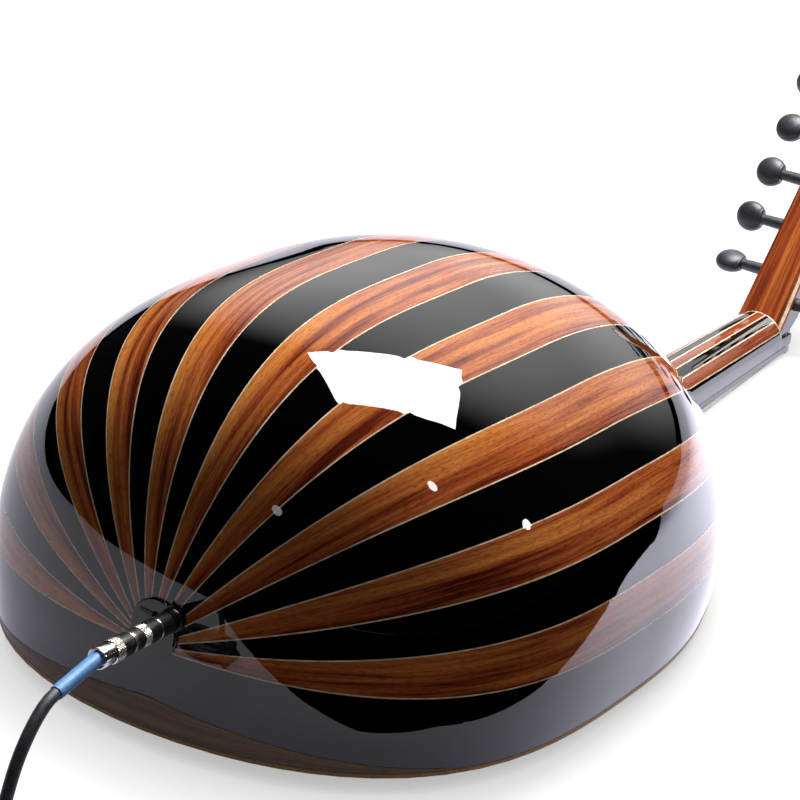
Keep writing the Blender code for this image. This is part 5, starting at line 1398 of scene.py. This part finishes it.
coil = coil_path()
leaving = coil[-1]
sleeve_end = np.array([far_tip[0], far_low.y, PLUG_BODY_RADIUS])
last_points = [leaving + (sleeve_end - leaving) * np.array([ease(share), share, share]) for share in (0.3, 0.5, 0.7, 1.0)]
lead_path = smooth_line(np.vstack([CABLE_ROUTE, coil, last_points]), CABLE_POINT_STEP)
lead_curve = bpy.data.curves.new("lead", "CURVE")
lead_curve.dimensions = "3D"
lead_curve.bevel_depth = CABLE_RADIUS
lead_curve.bevel_resolution = 4
lead_curve.use_fill_caps = True
spline = lead_curve.splines.new("POLY")
spline.points.add(len(lead_path) - 1)
spline.points.foreach_set("co", np.column_stack([lead_path, np.ones(len(lead_path))]).ravel())
lead = bpy.data.objects.new("lead", lead_curve)
bpy.context.scene.collection.objects.link(lead)
lead_curve.materials.append(cable_rubber())
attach(lead, "oud_body")
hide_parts("cable", "cable_coil")


# Floor and light
# A white sheet, which glows for the camera with a painted contact shadow round the oud and shows a painted
# pool of light in reflections, on a dark floor that shows only in reflections as a painted dark reflection,
# open to a bright doorway behind the neck. The main light is a window, high behind the neck, and there are
# three small lamps. Everything else of the room is dark.
FLOOR_HALF = 8.0
LOOK_AT = Vector((-0.3154, -0.06, 0.18))
FLOOR_COLOUR = "#7a7877"
FLOOR_GLOW = (0.42, 0.54)
PAINTED_SHADOW_REACH = 0.05
SHEET_GLARE = (0.82, 3.6)
GLARE_COLOUR = "#e6e6fa"
GLARE_MIDDLE = (0.3, -0.4, 0.0)
GLARE_REACH = (0.1, 0.75)
SHEET_EDGE = ((-7.0, 2.45), (-0.70, -0.03), (-0.427, -0.138), (-0.375, -0.19), (0.31, -0.49), (7.0, -3.6))
BESIDE_SHEET = ((-8.0, -1.35, -1.0, 8.0), (-8.0, 8.0, 2.0, 8.0), (2.2, 8.0, -8.0, 8.0))
WINDOW_HEIGHT = 1.8
WINDOW_CORNERS = ((0.349, 0.310), (1.269, -0.159), (0.673, -0.594), (-0.022, -0.068))
WINDOW_GLARE = 26.0
KEY_DIRECTION = Vector((0.50, 0.10, 0.86))
KEY_DISTANCE = 2.3
KEY_SIZE = (1.1, 0.8)
KEY_POWER = 102.0
DOORWAY_MIDDLE = (0.8365, 0.2241, 0.5)
DOORWAY_LEVEL = 1.5
ROOM_LEVEL = 0.01
ROOM_FILL = 0.05
LAMPS = ((0.015, -0.697, 0.717, 5.0), (0.513, -0.801, 0.307, 5.0), (-0.890, -0.021, 0.455, 0.9))
LAMP_DISTANCE = 2.5
LAMP_RADIUS = 0.08


def flat_sheet(name, corners, height, look):
    """A flat four-cornered sheet that isn't part of the object."""
    mesh = bpy.data.meshes.new(name)
    mesh.from_pydata([(x, y, height) for x, y in corners], [], [(0, 1, 2, 3)])
    mesh.materials.append(look)
    made = bpy.data.objects.new(name, mesh)
    bpy.context.scene.collection.objects.link(made)
    made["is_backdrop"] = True
    return made


def reflected_only(made):
    """Leaves an object to be seen in reflections and nowhere else."""
    made.visible_camera = False
    made.visible_diffuse = False
    made.visible_transmission = False
    made.visible_shadow = False


floor_look, floor_tree, floor_shader = new_finish("white sheet", base_color=colour(FLOOR_COLOUR), roughness=0.9,
                                                  specular_ior_level=0.0)
floor_ray = add(floor_tree, "LightPath").outputs
# Painted shadow: for the camera the sheet glows less where ambient occlusion finds the oud close by, a painted contact
# shadow round it.
near = add(floor_tree, "AmbientOcclusion", {"Distance": PAINTED_SHADOW_REACH}, samples=12)
glow = add(floor_tree, "MapRange", {"Value": near.outputs["AO"], "To Min": FLOOR_GLOW[0], "To Max": sum(FLOOR_GLOW)})
floor_place = add(floor_tree, "TexCoord").outputs["Object"]
# Painted light: in reflections the sheet glows as a painted pool of light, SHEET_GLARE[1] at GLARE_MIDDLE fading to
# SHEET_GLARE[0] beyond GLARE_REACH, tinted GLARE_COLOUR.
away = add(floor_tree, "VectorMath", {0: floor_place, 1: GLARE_MIDDLE}, operation="DISTANCE").outputs["Value"]
glare = add(floor_tree, "MapRange", {"Value": away, "From Min": GLARE_REACH[0], "From Max": GLARE_REACH[1],
                                     "To Min": SHEET_GLARE[1], "To Max": SHEET_GLARE[0]}, interpolation_type="SMOOTHSTEP")
painted_glare = add(floor_tree, "Math", {0: floor_ray["Is Glossy Ray"], 1: glare.outputs[0]}, operation="MULTIPLY")
shown = add(floor_tree, "Mix", {0: floor_ray["Is Camera Ray"], 2: painted_glare.outputs[0], 3: glow.outputs[0]})
tint = add(floor_tree, "Mix", {0: floor_ray["Is Camera Ray"], 6: colour(GLARE_COLOUR), 7: (1, 1, 1, 1)}, data_type="RGBA")
floor_tree.links.new(tint.outputs[2], floor_shader.inputs["Emission Color"])
floor_tree.links.new(shown.outputs[0], floor_shader.inputs["Emission Strength"])
flat_sheet("floor", [(x * FLOOR_HALF, y * FLOOR_HALF) for x, y in ((-1, -1), (1, -1), (1, 1), (-1, 1))], 0, floor_look)

# Painted dark reflection: black sheets seen only in reflections, beside the white sheet, stand for the dark room; the
# camera sees the white sheet there.
painted_dark_reflection_look, _, _ = new_finish("painted dark reflection beside the sheet", base_color=colour("#060606"), roughness=1.0,
                             specular_ior_level=0.0)
for number, (start, end) in enumerate(zip(SHEET_EDGE[:-1], SHEET_EDGE[1:])):
    corners = [start, (start[0], -FLOOR_HALF), (end[0], -FLOOR_HALF), end]
    reflected_only(flat_sheet("dark_reflection_sheet_near_%d" % number, corners, 0.0010, painted_dark_reflection_look))
for number, (x0, x1, y0, y1) in enumerate(BESIDE_SHEET):
    corners = [(x0, y0), (x1, y0), (x1, y1), (x0, y1)]
    reflected_only(flat_sheet("dark_reflection_sheet_beside_%d" % number, corners, 0.0011 + 0.0001 * number, painted_dark_reflection_look))

world = bpy.data.worlds.new("room")
bpy.context.scene.world = world
world.use_nodes = True
sky = world.node_tree
rays = add(sky, "LightPath").outputs
heading = add(sky, "TexCoord").outputs["Generated"]
toward = add(sky, "VectorMath", {0: heading, 1: DOORWAY_MIDDLE}, operation="DOT_PRODUCT").outputs["Value"]
darkest = add(sky, "Mix", {0: rays["Is Glossy Ray"], 2: ROOM_FILL, 3: ROOM_LEVEL})
level = add(sky, "MapRange", {"Value": toward, "From Min": 0.74, "From Max": 0.97, "To Min": darkest.outputs[0],
                              "To Max": DOORWAY_LEVEL}, interpolation_type="SMOOTHSTEP")
strength = add(sky, "Mix", {0: rays["Is Camera Ray"], 2: level.outputs[0], 3: 1.0})
background = sky.nodes["Background"]
sky.links.new(strength.outputs[0], background.inputs["Strength"])
background.inputs["Color"].default_value = (1, 1, 1, 1)

key = bpy.data.lights.new("window light", "AREA")
key.shape = "RECTANGLE"
key.size, key.size_y = KEY_SIZE
key.energy = KEY_POWER
key_object = bpy.data.objects.new("window light", key)
key_object.location = LOOK_AT + KEY_DIRECTION.normalized() * KEY_DISTANCE
key_object.rotation_euler = KEY_DIRECTION.to_track_quat("Z", "Y").to_euler()
key_object.visible_glossy = False
bpy.context.scene.collection.objects.link(key_object)

window_look = bpy.data.materials.new("window glare")
window_look.use_nodes = True
window_look.node_tree.nodes.remove(window_look.node_tree.nodes["Principled BSDF"])
window_glow = add(window_look.node_tree, "Emission", {"Strength": WINDOW_GLARE})
window_look.node_tree.links.new(window_glow.outputs[0], window_look.node_tree.nodes["Material Output"].inputs["Surface"])
reflected_only(flat_sheet("window", [(LOOK_AT.x + x * WINDOW_HEIGHT, LOOK_AT.y + y * WINDOW_HEIGHT)
                                     for x, y in WINDOW_CORNERS], LOOK_AT.z + WINDOW_HEIGHT, window_look))

for number, (x, y, z, power) in enumerate(LAMPS):
    lamp = bpy.data.lights.new("lamp_%d" % number, "POINT")
    lamp.energy = power
    lamp.shadow_soft_size = LAMP_RADIUS
    lamp_object = bpy.data.objects.new("lamp_%d" % number, lamp)
    lamp_object.location = LOOK_AT + Vector((x, y, z)) * LAMP_DISTANCE
    bpy.context.scene.collection.objects.link(lamp_object)


low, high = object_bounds()
